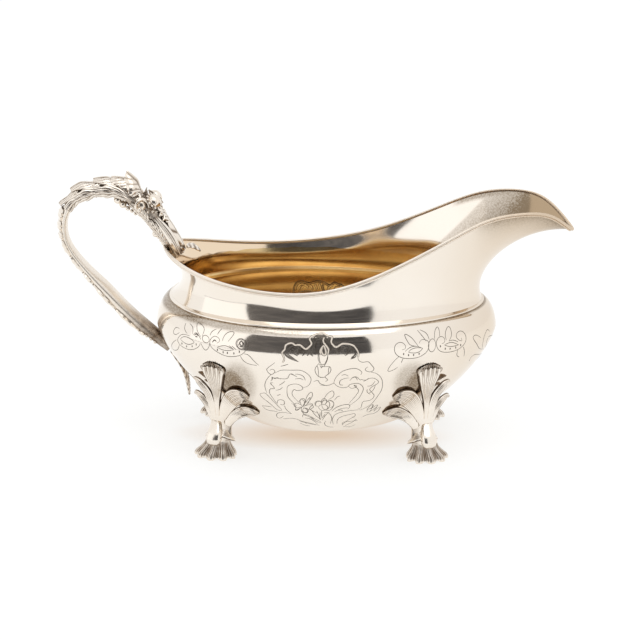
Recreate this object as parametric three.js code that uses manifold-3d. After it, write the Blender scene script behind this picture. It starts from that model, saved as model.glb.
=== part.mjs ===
// Silver sauce boat: a bellied oval bowl under a waisted neck with a long pouring spout, on four
// leaf legs with fluted shell feet, with a leaf-clad loop handle at the back.
// Millimetres. +X points along the spout, -Y is the near side, +Z is up, the table is at z = 0.
import * as THREE from 'three';
import { mergeVertices } from 'three/addons/utils/BufferGeometryUtils.js';
import Module from 'manifold-3d';

const wasm = await Module();
wasm.setup();

// Sheet and seats
const sheet = 1.1;
const solderGap = 0.3;

// Bowl, from the flat underside up to the ledge that the neck stands on
const bowlColumns = 48;
const ovalEgg = 0.095;
const floorHeight = 12;
const floorLength = 66;
const floorWidth = 56;
const bilgePower = 1.36;
const bellyHeight = 49.5;
const bellyLength = 138.2;
const bellyWidth = 94.8;
const shoulderHeight = 60.2;
const shoulderLength = 127.6;
const shoulderWidth = 85.2;
const shoulderPower = 1.85;
const ledgeAlong = 2.4;
const ledgeAcross = 6;

// Moulding between bowl and neck
const mouldingHeight = 0.9;
const mouldingSwell = 0.15;
const mouldingSlope = 0.3;

// Neck and spout, as stations round one half from the spout tip (base angle 0) to the back (180).
// Each gives the top edge of the sheet, how far the wall leans in above its foot and how high that
// lean reaches, and the way down from the edge to the last control point of the wall's curve.
const neckInsetAlong = 0.7;
const neckInsetAcross = 4.4;
const neckStations = [
  { angle: 0, edge: [97.8, 0, 90.2], lean: 5.7, rise: 13.5, flare: [-20, 0, 1.6] },
  { angle: 11, edge: [91.2, 9.2, 96.4], lean: 5.6, rise: 13.5, flare: [-15.5, -0.6, -3.6] },
  { angle: 22, edge: [80.6, 16.1, 100.4], lean: 5, rise: 13, flare: [-11.5, -1.4, -8] },
  { angle: 36, edge: [64.6, 20.6, 98.8], lean: 4.2, rise: 11, flare: [-5.5, -1.8, -10] },
  { angle: 52, edge: [48, 25.8, 91.5], lean: 3.4, rise: 8, flare: [-2, -1.3, -8] },
  { angle: 70, edge: [24, 32.1, 80], lean: 2, rise: 4.3, flare: [0.1, 0.5, -8] },
  { angle: 90, edge: [0, 37.2, 72.9], lean: 1.9, rise: 4.2, flare: [0, -0.1, -4.2] },
  { angle: 110, edge: [-22, 35.3, 71.4], lean: 1.7, rise: 3.7, flare: [0.1, -0.1, -4.6] },
  { angle: 133, edge: [-42, 28.9, 73.3], lean: 2.4, rise: 5, flare: [0.6, -0.4, -4] },
  { angle: 157, edge: [-58.2, 17.2, 77.3], lean: 4.2, rise: 6, flare: [4.2, -1.8, -6.4] },
  { angle: 180, edge: [-65.3, 0, 80.2], lean: 6.3, rise: 5, flare: [7.6, 0, -6.4] },
];
const neckColumns = 26;
const neckRows = 8;

// Wire along the rim
const rimWireWidth = 2.1;
const rimWireHeight = 1.3;
const rimColumns = 36;

// Legs: a leaf on the bowl, a stem and a spreading pedestal over a fluted shell foot
const footAlong = bellyLength / 2 - 27.5;
const footAcross = bellyWidth / 2 - 21.8;
const footShift = -1.2;
const footHeading = 72;
const shellSeat = 7.5;
const shellHalfWidth = 8.9;
const shellHalfDepth = 7.2;
const shellOutset = 1.2;
const shellFlutes = 9;
const fluteDepth = 0.09;
const ankleHeight = 14;
// Ovals of the stem and pedestal: height, half width on the outer and on the inner side, half depth
// and how far the middle stands ahead of the leg's line
const stemSections = [
  { height: 7.5, outer: 5, inner: 5.4, depth: 4.4, ahead: 0.6 },
  { height: 9.2, outer: 5, inner: 5.6, depth: 4.4, ahead: 0.5 },
  { height: 11.4, outer: 4.1, inner: 5.6, depth: 3.4, ahead: 0.2 },
  { height: 14, outer: 3.7, inner: 6, depth: 2.8, ahead: 0 },
  { height: 17.6, outer: 3.8, inner: 7.2, depth: 2.5, ahead: 0.4 },
  { height: 21.4, outer: 4.2, inner: 9, depth: 1.9, ahead: 0.8 },
  { height: 27, outer: 3, inner: 3.6, depth: 1.4, ahead: 0.9 },
];
const stemSides = 14;

// Leaf of a leg
const leafTop = 43.5;
const leafHub = 21;
const leafThickness = 1.7;
const leafOutline = [
  [0, 1], [12, 0.95], [22, 0.72], [32, 0.4], [46, 0.66], [60, 0.74], [70, 0.6], [77, 0.42],
  [86, 0.74], [96, 0.78], [106, 0.3],
];
const leafTurn = 106;
const outerLobeShare = 0.74;
const outerLeafCurl = 0.034;
const innerLeafCurl = 0.014;

// Handle: stations of the cast strap, out from and above its seat on the rim (share 0), its heel on
// the bowl (share 1) or a place between them, with half its thickness and half its width.
const heelHeight = 40.5;
const handleStations = [
  { share: 0, out: -5, up: -2.8, thick: 2.8, wide: 3.6 },
  { share: 0, out: -1.4, up: 4.4, thick: 2.8, wide: 4.4 },
  { share: 0, out: 4, up: 11.8, thick: 3.3, wide: 4.8 },
  { share: 0, out: 10.6, up: 18.4, thick: 3.3, wide: 4.8 },
  { share: 0, out: 18, up: 23.4, thick: 2.7, wide: 4.5 },
  { share: 0, out: 26.5, up: 24, thick: 2.4, wide: 4.3 },
  { share: 0, out: 35, up: 21, thick: 2.2, wide: 4.1 },
  { share: 0, out: 40.6, up: 13.6, thick: 1.7, wide: 3.9 },
  { share: 0.5, out: 40.9, up: 24, thick: 1.4, wide: 3.8 },
  { share: 0.5, out: 36.6, up: 15.6, thick: 1.6, wide: 4.1 },
  { share: 0.5, out: 29, up: 6.4, thick: 2, wide: 4.5 },
  { share: 1, out: 19.8, up: 16.2, thick: 2.6, wide: 4.7 },
  { share: 1, out: 9.6, up: 6.2, thick: 2.5, wide: 4.4 },
  { share: 1, out: -1.5, up: -2.6, thick: 2.4, wide: 4 },
];
const strapSteps = 36;
const strapSides = 10;

// Leaves and trim on the handle; places are station numbers along the strap
const castLeaf = 1.4;
const rosettePlace = 2.7;
const rosetteTurn = 30;
const rosetteRadius = 3.3;
const rosetteHeight = 5;
const pearlDiameter = 2.8;
const pearlPitch = 3.4;
const pearlFrom = 1;
const pearlTo = 4.2;
const bladeThickness = 1.25;
const bladePlaces = [[3.7, 5.2], [4.75, 6.1], [5.75, 6.75]];
const crestPlaces = [3.2, 4.08];
const crestLift = 5.2;
const bandPlaces = [6.8, 12.2];
const bandTeeth = 11;
const rootPlaces = [0.3, 1.9];
const sideLeafPlaces = [0.75, 1.85];
const sideLeafTurn = 107;
const tongueStations = [
  { inward: 1, up: -0.4, wide: 2.4, thick: 0.5 },
  { inward: 3.4, up: -0.3, wide: 3, thick: 0.6 },
  { inward: 6.6, up: -2.4, wide: 0.8, thick: 0.4 },
];
// Tail leaf below the heel: drop below it and distance off the bowl, half width, half thickness
const tailStations = [
  { drop: 4.5, off: 1, wide: 3, thick: 0.7 },
  { drop: 9.5, off: 1.3, wide: 4.6, thick: 0.8 },
  { drop: 14, off: 3.3, wide: 4.6, thick: 0.9 },
  { drop: 19, off: 7.5, wide: 3.4, thick: 0.8 },
  { drop: 23.6, off: 13, wide: 0.9, thick: 0.4 },
];

const silver = { color: 0xe9e3da, metalness: 1, roughness: 0.12 };
const castSilver = { color: 0xd3c8ba, metalness: 1, roughness: 0.3 };

const radians = THREE.MathUtils.degToRad;
const mix = THREE.MathUtils.lerp;
const clamp01 = (value) => THREE.MathUtils.clamp(value, 0, 1);
const smooth = (value) => THREE.MathUtils.smoothstep(value, 0, 1);
const sequence = (count) => Array.from({ length: count }, (_, index) => index);

// Catmull-Rom value at place u of equally spaced stations; the ends repeat mirrored, and a value
// that changes sign across the mid plane (an across size) mirrors as odd.
function stationValue(values, u, odd = false) {
  const last = values.length - 1;
  const at = (index) => {
    const mirrored = index < 0 ? -index : index > last ? 2 * last - index : index;
    const flips = odd && mirrored !== index;
    return flips ? -values[mirrored] : values[mirrored];
  };
  const i = Math.min(Math.floor(u), last - 1);
  const f = u - i;
  const [a, b, c, d] = [at(i - 1), at(i), at(i + 1), at(i + 2)];
  const slopeB = (c - a) / 2;
  const slopeC = (d - b) / 2;
  const cubic = 2 * b - 2 * c + slopeB + slopeC;
  const square = 3 * c - 3 * b - 2 * slopeB - slopeC;
  return b + slopeB * f + square * f * f + cubic * f * f * f;
}

// Value at x through pairs [x, y] in rising x, eased flat at each pair.
function pairValue(pairs, x) {
  const k = Math.max(1, pairs.findIndex((pair) => pair[0] >= x));
  const [x0, y0] = pairs[k - 1];
  const [x1, y1] = pairs[k];
  return mix(y0, y1, smooth(clamp01((x - x0) / (x1 - x0))));
}

// Closed skin over a stack of rings with equal numbers of [x, y, z] points. The end rings are
// closed by fans, or joined to each other where the stack closes on itself. Faces point outwards.
function skin(rings, closesOnItself = false) {
  const count = rings[0].length;
  const points = rings.flat();
  const faces = [];
  const spans = closesOnItself ? rings.length : rings.length - 1;
  for (let i = 0; i < spans; i++) {
    const next = (i + 1) % rings.length;
    for (let j = 0; j < count; j++) {
      const k = (j + 1) % count;
      faces.push([i * count + j, i * count + k, next * count + k]);
      faces.push([i * count + j, next * count + k, next * count + j]);
    }
  }
  if (!closesOnItself) {
    closeEnd(points, faces, 0, count, true);
    closeEnd(points, faces, (rings.length - 1) * count, count, false);
  }
  return outwardGeometry(points, faces);
}

// Fan from the middle of an end ring.
function closeEnd(points, faces, first, count, isStart) {
  const middle = [0, 1, 2].map((axis) => {
    const sum = points.slice(first, first + count).reduce((total, point) => total + point[axis], 0);
    return sum / count;
  });
  const hub = points.push(middle) - 1;
  for (let j = 0; j < count; j++) {
    const k = (j + 1) % count;
    const edge = isStart ? [first + k, first + j] : [first + j, first + k];
    faces.push([hub, ...edge]);
  }
}

// Indexed geometry whose faces are turned so that it encloses a positive volume.
function outwardGeometry(points, faces) {
  const volume = faces.reduce((total, [a, b, c]) => {
    const [p, q, r] = [points[a], points[b], points[c]];
    const crossX = q[1] * r[2] - q[2] * r[1];
    const crossY = q[2] * r[0] - q[0] * r[2];
    const crossZ = q[0] * r[1] - q[1] * r[0];
    return total + p[0] * crossX + p[1] * crossY + p[2] * crossZ;
  }, 0);
  const turned = volume < 0 ? faces.map(([a, b, c]) => [a, c, b]) : faces;
  const geometry = new THREE.BufferGeometry();
  geometry.setAttribute('position', new THREE.Float32BufferAttribute(points.flat(), 3));
  geometry.setIndex(turned.flat());
  return geometry;
}

// Solid of a closed geometry, and the geometry of a solid.
function solidOf(geometry) {
  const bare = geometry.clone();
  bare.deleteAttribute('normal');
  bare.deleteAttribute('uv');
  const merged = mergeVertices(bare, 1e-4);
  return new wasm.Manifold(new wasm.Mesh({
    numProp: 3,
    vertProperties: new Float32Array(merged.attributes.position.array),
    triVerts: new Uint32Array(merged.index.array),
  }));
}

function geometryOf(solid) {
  const mesh = largestPiece(solid).getMesh();
  const geometry = new THREE.BufferGeometry();
  geometry.setAttribute('position', new THREE.BufferAttribute(mesh.vertProperties, 3));
  geometry.setIndex(new THREE.BufferAttribute(mesh.triVerts, 1));
  return geometry;
}

function largestPiece(solid) {
  const pieces = solid.decompose();
  return pieces.reduce((best, piece) => (piece.volume() > best.volume() ? piece : best));
}

// The piece with everything cut away that the given solids take up.
function fittedTo(geometry, ...neighbours) {
  const cut = neighbours.reduce((rest, neighbour) => rest.subtract(neighbour), solidOf(geometry));
  return geometryOf(cut);
}

// Oval plan of the bowl: an ellipse made fuller towards the handle and leaner towards the spout.
function ovalPoint(halfLength, halfWidth, angle) {
  const c = Math.cos(angle);
  return [halfLength * c, halfWidth * Math.sin(angle) * (1 - ovalEgg * c)];
}

function ovalRing(halfLength, halfWidth, height) {
  return sequence(bowlColumns).map((j) => {
    const [x, y] = ovalPoint(halfLength, halfWidth, (2 * Math.PI * j) / bowlColumns);
    return [x, y, height];
  });
}

// Share of the way from floor size to belly size at a height below the belly.
function bilgeShare(height) {
  const t = clamp01((height - floorHeight) / (bellyHeight - floorHeight));
  return (1 - (1 - t) ** bilgePower) ** (1 / bilgePower);
}

// Outer profile of the bowl as [half length, half width, height], floor edge to shoulder.
function bowlProfile() {
  const rows = [0, 0.03, 0.1, 0.22, 0.38, 0.56, 0.76].map((t) => {
    const height = mix(floorHeight, bellyHeight, t);
    const s = bilgeShare(height);
    return [mix(floorLength, bellyLength, s) / 2, mix(floorWidth, bellyWidth, s) / 2, height];
  });
  for (const turn of [0, 18, 36, 54, 72, 90]) {
    const bend = (value) => value ** (2 / shoulderPower);
    const inward = 1 - bend(Math.max(Math.cos(radians(turn)), 0));
    rows.push([
      mix(bellyLength, shoulderLength, inward) / 2,
      mix(bellyWidth, shoulderWidth, inward) / 2,
      mix(bellyHeight, shoulderHeight, bend(Math.sin(radians(turn)))),
    ]);
  }
  return rows;
}

// The same profile moved outwards along its own normal by a distance, inwards where negative.
function offsetProfile(profile, distance) {
  return profile.map(([along, across, height], i) => {
    const before = profile[Math.max(i - 1, 0)];
    const after = profile[Math.min(i + 1, profile.length - 1)];
    const climb = after[2] - before[2];
    const alongSlope = Math.hypot(after[0] - before[0], climb);
    const acrossSlope = Math.hypot(after[1] - before[1], climb);
    const sinking = ((after[0] - before[0]) / alongSlope + (after[1] - before[1]) / acrossSlope) / 2;
    return [
      along + (distance * climb) / alongSlope,
      across + (distance * climb) / acrossSlope,
      height - distance * sinking,
    ];
  });
}

function bowl() {
  const outer = bowlProfile();
  const inner = offsetProfile(outer, -sheet);
  inner[0] = [inner[1][0] * 0.8, inner[1][1] * 0.8, floorHeight + sheet];
  const top = outer[outer.length - 1];
  const ledge = [top[0] - ledgeAlong, top[1] - ledgeAcross, shoulderHeight];
  const underLedge = [ledge[0], ledge[1], shoulderHeight - sheet];
  const rows = [...outer, ledge, underLedge, ...inner.slice(0, -1).reverse()];
  return skin(rows.map(([along, across, height]) => ovalRing(along, across, height)));
}

// Solid that fills the bowl and stands proud of it by the solder gap, for cutting pieces to fit.
function bowlEnvelope() {
  const rows = offsetProfile(bowlProfile(), solderGap);
  rows[0] = [rows[0][0], rows[0][1], floorHeight - solderGap];
  return solidOf(skin(rows.map(([along, across, height]) => ovalRing(along, across, height))));
}

// Strip on the shoulder: a soft edge over the crease, then a slope in to the neck's foot.
function shoulderMoulding() {
  const along = shoulderLength / 2;
  const across = shoulderWidth / 2;
  const top = shoulderHeight + mouldingHeight;
  const slopeTop = top - 0.2 * mouldingHeight;
  const section = [
    [-ledgeAlong, -ledgeAcross, shoulderHeight],
    [0, 0, shoulderHeight],
    [mouldingSwell, mouldingSwell, shoulderHeight + mouldingHeight * 0.5],
    [-mouldingSlope, -mouldingSlope, slopeTop],
    [-neckInsetAlong, -neckInsetAcross, top],
    [-ledgeAlong, -ledgeAcross, top],
  ];
  return skin(section.map(([out, aside, height]) => ovalRing(along + out, across + aside, height)), true);
}

// Outer surface of the neck at station place u (0 tip, last back) and height share v, as one
// cubic curve from the moulding up to the sheet's edge.
function neckPoint(u, v) {
  const value = (pick, odd) => stationValue(neckStations.map(pick), u, odd);
  const evenSpan = 180 / (neckStations.length - 1);
  const angle = radians(evenSpan * u + value((station, index) => station.angle - evenSpan * index, true));
  const halfLength = shoulderLength / 2 - neckInsetAlong;
  const halfWidth = shoulderWidth / 2 - neckInsetAcross;
  const [x, y] = ovalPoint(halfLength, halfWidth, angle);
  const out = new THREE.Vector2(Math.cos(angle) / halfLength, Math.sin(angle) / halfWidth).normalize();
  const base = new THREE.Vector3(x, y, shoulderHeight + mouldingHeight);
  const edge = new THREE.Vector3(
    value((station) => station.edge[0]),
    value((station) => station.edge[1], true),
    value((station) => station.edge[2]),
  );
  const lean = value((station) => station.lean);
  const waist = base.clone().add(
    new THREE.Vector3(-out.x * lean, -out.y * lean, value((station) => station.rise)),
  );
  const flare = edge.clone().add(new THREE.Vector3(
    value((station) => station.flare[0]),
    value((station) => station.flare[1], true),
    value((station) => station.flare[2]),
  ));
  return new THREE.CubicBezierCurve3(base, waist, flare, edge).getPoint(v);
}

// Normal of the neck's outer surface, pointing out of the vessel.
function neckNormal(u, v) {
  const step = 0.01;
  const last = neckStations.length - 1;
  const alongRim = neckPoint(Math.min(u + step, last), v).sub(neckPoint(Math.max(u - step, 0), v));
  if (u < step || u > last - step) alongRim.set(0, u < step ? 1 : -1, 0);
  const upWall = neckPoint(u, Math.min(v + step, 1)).sub(neckPoint(u, Math.max(v - step, 0)));
  return alongRim.cross(upWall).normalize();
}

// Point at a distance from the neck's outer surface, on the far half or mirrored to the near half.
function neckOffset(u, v, distance, mirrored) {
  const point = neckPoint(u, v).addScaledVector(neckNormal(u, v), distance);
  return [point.x, mirrored ? -point.y : point.y, point.z];
}

// One closed loop round the neck: the far half from tip to back, then the near half home.
function neckLoop(pointAt, columns = neckColumns) {
  const last = neckStations.length - 1;
  const places = sequence(columns + 1).map((j) => (last * j) / columns);
  const far = places.map((u) => pointAt(u, false));
  const near = places.slice(1, -1).reverse().map((u) => pointAt(u, true));
  return [...far, ...near];
}

// Wall of the neck between two offsets from its outer surface, from its foot up to its edge.
function neckWall(outside, inside, columns, rows) {
  const shares = sequence(rows + 1).map((i) => i / rows);
  const foot = shoulderHeight + mouldingHeight;
  const ring = (v, distance) => neckLoop((u, mirrored) => {
    const [x, y, z] = neckOffset(u, v, distance, mirrored);
    return [x, y, v === 0 ? foot : z];
  }, columns);
  const outer = shares.map((v) => ring(v, outside));
  const inner = shares.map((v) => ring(v, inside)).reverse();
  return skin([...outer, ...inner], true);
}

// Section of the rim wire, as [up along the wall, out of the wall] from the sheet's edge.
function rimWireSection(grow) {
  const low = solderGap - 2 * grow;
  const high = solderGap + rimWireHeight + grow;
  const inside = -(sheet + rimWireWidth) / 2 - grow;
  const outside = (rimWireWidth - sheet) / 2 + grow;
  const middle = (low + high) / 2;
  return [
    [low, inside], [low, outside], [middle, outside + 0.3], [high, outside - 0.3],
    [high, inside + 0.3], [middle, inside - 0.1],
  ];
}

function rimWire(grow = 0) {
  const last = neckStations.length - 1;
  const step = 0.03;
  const rings = neckLoop((u, mirrored) => {
    const edge = neckPoint(u, 1);
    const up = edge.clone().sub(neckPoint(u, 1 - step)).normalize();
    const out = neckNormal(Math.min(Math.max(u, 0), last), 1);
    return rimWireSection(grow).map(([rise, spread]) => {
      const point = edge.clone().addScaledVector(up, rise).addScaledVector(out, spread);
      return [point.x, mirrored ? -point.y : point.y, point.z];
    });
  }, rimColumns);
  return skin(rings, true);
}

// Solid of the neck's wall and wire, proud by the solder gap, for cutting the handle to fit.
function neckEnvelope() {
  const wall = solidOf(neckWall(solderGap, -sheet - solderGap, neckColumns, neckRows));
  return wall.add(solidOf(rimWire(solderGap)));
}

// Place of a foot: its centre, the heading of its leg and the way across it.
function footPlace(end, side) {
  const heading = radians(footHeading);
  return {
    x: end * footAlong + footShift,
    y: side * footAcross,
    ahead: [end * Math.cos(heading), side * Math.sin(heading)],
    across: [end * Math.sin(heading), -side * Math.cos(heading)],
  };
}

// Point of a leg from its own distances: ahead of the foot's centre, across it, and height.
function legPoint(place, ahead, across, height) {
  return [
    place.x + ahead * place.ahead[0] + across * place.across[0],
    place.y + ahead * place.ahead[1] + across * place.across[1],
    height,
  ];
}

// How far ahead of the foot's centre the bowl's surface lies, found by halving the range.
function bowlReach(place, across, height) {
  const s = bilgeShare(height);
  const halfLength = mix(floorLength, bellyLength, s) / 2;
  const halfWidth = mix(floorWidth, bellyWidth, s) / 2;
  let [low, high] = [-footAlong, bellyWidth / 2];
  for (let i = 0; i < 24; i++) {
    const middle = (low + high) / 2;
    const [x, y] = legPoint(place, middle, across, height);
    const c = x / halfLength;
    const inside = c * c + (y / (halfWidth * (1 - ovalEgg * c))) ** 2 < 1;
    [low, high] = inside ? [middle, high] : [low, middle];
  }
  return low;
}

// Middle line of a leg, ahead distance at a height: upright over the foot, then leaning out to
// lie on the bowl below the leaf's top.
function legLine(place, height) {
  const top = bowlReach(place, 0, leafTop) + solderGap;
  const t = clamp01((height - ankleHeight) / (leafTop - ankleHeight));
  return top * t ** 1.45;
}

// Leaf of a leg: slices at equal turns round the hub, each a thin loop with the front face ridged
// along the lobes and the back face on the bowl or on the leg's own curve.
function legLeaf(place) {
  const slices = 26;
  const turns = sequence(slices + 1).map((i) => mix(-leafTurn, leafTurn, i / slices));
  return skin(turns.map((turn) => {
    const length = pairValue(leafOutline, Math.abs(turn));
    const outer = mix(1, outerLobeShare, smooth(turn / 40));
    const tip = (leafTop - leafHub) * length * outer;
    const thickness = (share) => leafThickness * (0.5 + 0.5 * length) * (1 - 0.35 * share ** 2);
    const shares = [0.06, 0.55, 1];
    const back = shares.map((share) => leafPoint(place, turn, share * tip, 0));
    const front = shares.map((share) => leafPoint(place, turn, share * tip, thickness(share)));
    return [...back, ...front.reverse()];
  }));
}

function leafPoint(place, turn, distance, thickness) {
  const across = distance * Math.sin(radians(turn));
  const height = leafHub + distance * Math.cos(radians(turn));
  const curl = across > 0 ? outerLeafCurl : innerLeafCurl;
  const free = legLine(place, height) - curl * across * across;
  const onBowl = bowlReach(place, across, height) + solderGap;
  return legPoint(place, Math.max(free, onBowl) + thickness, across, height);
}

// Stem and pedestal of a leg: ovals stacked from the flat seat on the shell up to the leaf.
function legStem(place) {
  return skin(stemSections.map(({ height, outer, inner, depth, ahead }) => {
    return sequence(stemSides).map((j) => {
      const turn = (2 * Math.PI * j) / stemSides;
      const across = (Math.sin(turn) > 0 ? outer : inner) * Math.sin(turn);
      return legPoint(place, legLine(place, height) + ahead + depth * Math.cos(turn), across, height);
    });
  }));
}

// Fluted shell foot: rings spread from the seat down to a scalloped edge on the table.
function footShell(place) {
  const rings = [
    [shellSeat, 0.56, 0],
    [shellSeat * 0.76, 0.58, 0.3],
    [shellSeat * 0.46, 0.76, 0.8],
    [shellSeat * 0.2, 0.97, 1],
    [0, 1, 1],
  ];
  return skin(rings.map(([height, spread, fluting]) => sequence(4 * shellFlutes).map((j) => {
    const turn = (2 * Math.PI * j) / (4 * shellFlutes);
    const flute = 1 + fluteDepth * fluting * (Math.cos(shellFlutes * turn) - 1);
    const ahead = shellHalfDepth * spread * flute * Math.cos(turn);
    const across = shellHalfWidth * spread * flute * Math.sin(turn) + shellOutset * (1 - (1 - spread) * 2);
    return legPoint(place, ahead, across, height);
  })));
}

// Seat of the handle on the back of the rim, its heel on the end of the bowl, and the strap's
// stations worked out from both.
const rimBack = neckStations[neckStations.length - 1].edge;
const handleSeat = [rimBack[0], rimBack[2]];
const bowlBack = (height) => -mix(floorLength, bellyLength, bilgeShare(height)) / 2;
const handleHeel = [bowlBack(heelHeight), heelHeight];
const strapCurve = new THREE.CatmullRomCurve3(handleStations.map((station) => new THREE.Vector3(
  mix(handleSeat[0], handleHeel[0], station.share) - station.out,
  0,
  mix(handleSeat[1], handleHeel[1], station.share) + station.up,
)));

// Point off the strap: place along it, turn round it (0 away from the loop, 90 to the near side)
// and distance from its surface.
function strapPoint(place, turn, distance) {
  const last = handleStations.length - 1;
  const centre = strapCurve.getPoint(place / last);
  const tangent = strapCurve.getTangent(place / last);
  const thick = stationValue(handleStations.map((station) => station.thick), place);
  const wide = stationValue(handleStations.map((station) => station.wide), place);
  const c = Math.cos(radians(turn));
  const s = Math.sin(radians(turn));
  const normal = new THREE.Vector2(c / thick, s / wide).normalize();
  const away = thick * c + distance * normal.x;
  return [
    centre.x + tangent.z * away,
    -(wide * s + distance * normal.y),
    centre.z - tangent.x * away,
  ];
}

function strapSolid(grow) {
  const last = handleStations.length - 1;
  const rings = sequence(strapSteps + 1).map((i) => sequence(strapSides).map((j) => {
    return strapPoint((last * i) / strapSteps, (360 * j) / strapSides, grow);
  }));
  return skin(rings);
}

// A leaf laid on the strap between two places: half its spread in degrees about a middle turn, its
// height off the strap and its thickness are functions of the share of the way along it.
function strapLeaf({ from, to, middle = 0, spread, lift, thickness, rows = 9, across = 6, flutes = 0 }) {
  const rings = sequence(rows + 1).map((i) => {
    const share = i / rows;
    const place = mix(from, to, share);
    const sides = sequence(across + 1).map((k) => mix(-1, 1, k / across));
    const low = sides.map((side) => {
      return strapPoint(place, middle + side * spread(share), solderGap + lift(share));
    });
    const high = sides.map((side) => {
      const swell = 1 - 0.35 * side * side + 0.16 * Math.cos(flutes * Math.PI * side);
      const top = solderGap + lift(share) + thickness(share) * swell;
      return strapPoint(place, middle + side * spread(share), top);
    });
    return [...low, ...high.reverse()];
  });
  return skin(rings);
}

const noLift = () => 0;
const leafSwell = (share) => castLeaf * (0.6 + 0.4 * Math.sin(Math.PI * share));
const rootSwell = (share) => leafSwell(share) * 0.8;
const bladeOutline = (widest) => (share) => widest * (0.3 + 0.7 * Math.sin(Math.PI * (0.15 + 0.8 * share)));

// Overlapping blades along the top of the loop: each tip lies over the root of the next blade.
function archBlade([from, to], nextRoot) {
  const overThickness = (bladeThickness + solderGap) * 1.16;
  const overlap = (share) => smooth((mix(from, to, share) - nextRoot + 0.5) / 0.48);
  return strapLeaf({
    from,
    to,
    spread: bladeOutline(70),
    lift: (share) => overThickness * overlap(share),
    thickness: (share) => bladeThickness * (0.95 - 0.45 * share),
    flutes: 3,
  });
}

// Pointed leaf that stands off the top of the handle, its tip clear over the first blade.
function crestLeaf([from, to], nextRoot) {
  const clearShare = (nextRoot - from) / (to - from);
  return strapLeaf({
    from,
    to,
    spread: (share) => 12 + 30 * Math.sin(Math.PI * share ** 0.8),
    lift: (share) => crestLift * (0.55 * smooth(share / clearShare) + 0.45 * share ** 2),
    thickness: (share) => castLeaf * (1 - 0.4 * share),
    rows: 7,
    across: 4,
  });
}

// Serrated leaf band on the outside of the lower limb.
function lowerBand([from, to]) {
  const teeth = (share) => 1 - ((share * bandTeeth) % 1);
  return strapLeaf({
    from,
    to,
    spread: (share) => 46 + 16 * teeth(Math.min(share, 0.999)),
    lift: noLift,
    thickness: (share) => 0.7 + 0.4 * teeth(Math.min(share, 0.999)),
    rows: bandTeeth * 3,
    across: 3,
  });
}

// Flower head on the shoulder of the handle: a calyx cup, a frilled edge and a domed eye.
function rosette(side) {
  const profile = [
    [0, -2], [rosetteRadius * 0.5, -2], [rosetteRadius * 0.62, rosetteHeight * 0.3],
    [rosetteRadius, rosetteHeight * 0.52], [rosetteRadius * 0.84, rosetteHeight * 0.62],
    [rosetteRadius * 0.66, rosetteHeight * 0.6], [rosetteRadius * 0.46, rosetteHeight * 0.9],
    [0, rosetteHeight],
  ];
  const lathe = new THREE.LatheGeometry(profile.map(([r, h]) => new THREE.Vector2(r, h)), 16);
  const seat = new THREE.Vector3(...strapPoint(rosettePlace, side * rosetteTurn, 0));
  const above = new THREE.Vector3(...strapPoint(rosettePlace, side * rosetteTurn, 1));
  const axis = above.sub(seat).normalize();
  lathe.applyQuaternion(new THREE.Quaternion().setFromUnitVectors(new THREE.Vector3(0, 1, 0), axis));
  lathe.translate(seat.x, seat.y, seat.z);
  return lathe;
}

// Row of pearls along the inside of the upper limb, drawn as one wire that swells at each pearl.
function pearlRow() {
  const last = handleStations.length - 1;
  const length = strapCurve.getLength() * ((pearlTo - pearlFrom) / last);
  const pearls = Math.round(length / pearlPitch);
  const swell = [0.5, 0.86, 1, 0.86];
  const count = pearls * swell.length + 1;
  return skin(sequence(count).map((i) => {
    const radius = (pearlDiameter / 2) * swell[i % swell.length];
    const place = mix(pearlFrom, pearlTo, i / (count - 1));
    const near = strapPoint(place, 180, solderGap + pearlDiameter / 2);
    const far = strapPoint(place, 180, solderGap + pearlDiameter / 2 + 1);
    const outward = [far[0] - near[0], far[2] - near[2]];
    return sequence(8).map((j) => {
      const turn = (2 * Math.PI * (j + 0.5)) / 8;
      const out = radius * Math.cos(turn);
      return [near[0] + out * outward[0], radius * Math.sin(turn), near[2] + out * outward[1]];
    });
  }));
}

// Flat leaf carried along a line in the mid plane: stations [x, z, half width, half thickness].
function planeLeaf(stations, steps) {
  const curve = new THREE.CatmullRomCurve3(stations.map(([x, z]) => new THREE.Vector3(x, 0, z)));
  const last = stations.length - 1;
  return skin(sequence(steps + 1).map((i) => {
    const place = (last * i) / steps;
    const centre = curve.getPoint(place / last);
    const tangent = curve.getTangent(place / last);
    const halfWidth = stationValue(stations.map((station) => station[2]), place);
    const halfThickness = stationValue(stations.map((station) => station[3]), place);
    return sequence(10).map((j) => {
      const turn = (2 * Math.PI * j) / 10;
      const off = halfThickness * Math.cos(turn);
      return [
        centre.x + tangent.z * off,
        halfWidth * Math.sin(turn),
        centre.z - tangent.x * off,
      ];
    });
  }));
}

// Tail leaf under the handle's heel: it follows the end of the bowl and curls away to a point.
function tailLeaf() {
  return planeLeaf(tailStations.map(({ drop, off, wide, thick }) => {
    const height = heelHeight - drop;
    return [bowlBack(height) - off, height, wide, thick];
  }), 10);
}

// Small leaf that springs from the handle's root and points into the bowl.
function tongueLeaf() {
  const [x, , z] = strapPoint(rootPlaces[0], 0, solderGap + castLeaf / 2);
  return planeLeaf(tongueStations.map(({ inward, up, wide, thick }) => {
    return [x + inward, z + up, wide, thick];
  }), 6);
}

const boat = new THREE.Group();

function addPiece(name, geometry, finish) {
  const mesh = new THREE.Mesh(geometry, new THREE.MeshStandardMaterial(finish));
  mesh.name = name;
  boat.add(mesh);
  return mesh;
}

const bowlSpace = bowlEnvelope();
const neckSpace = neckEnvelope();
const strapSpace = solidOf(strapSolid(solderGap));

addPiece('bowl', bowl(), silver);
addPiece('shoulder_moulding', shoulderMoulding(), silver);
addPiece('neck_and_spout', neckWall(0, -sheet, neckColumns, neckRows), silver);
addPiece('rim_wire', rimWire(), silver);

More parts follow.
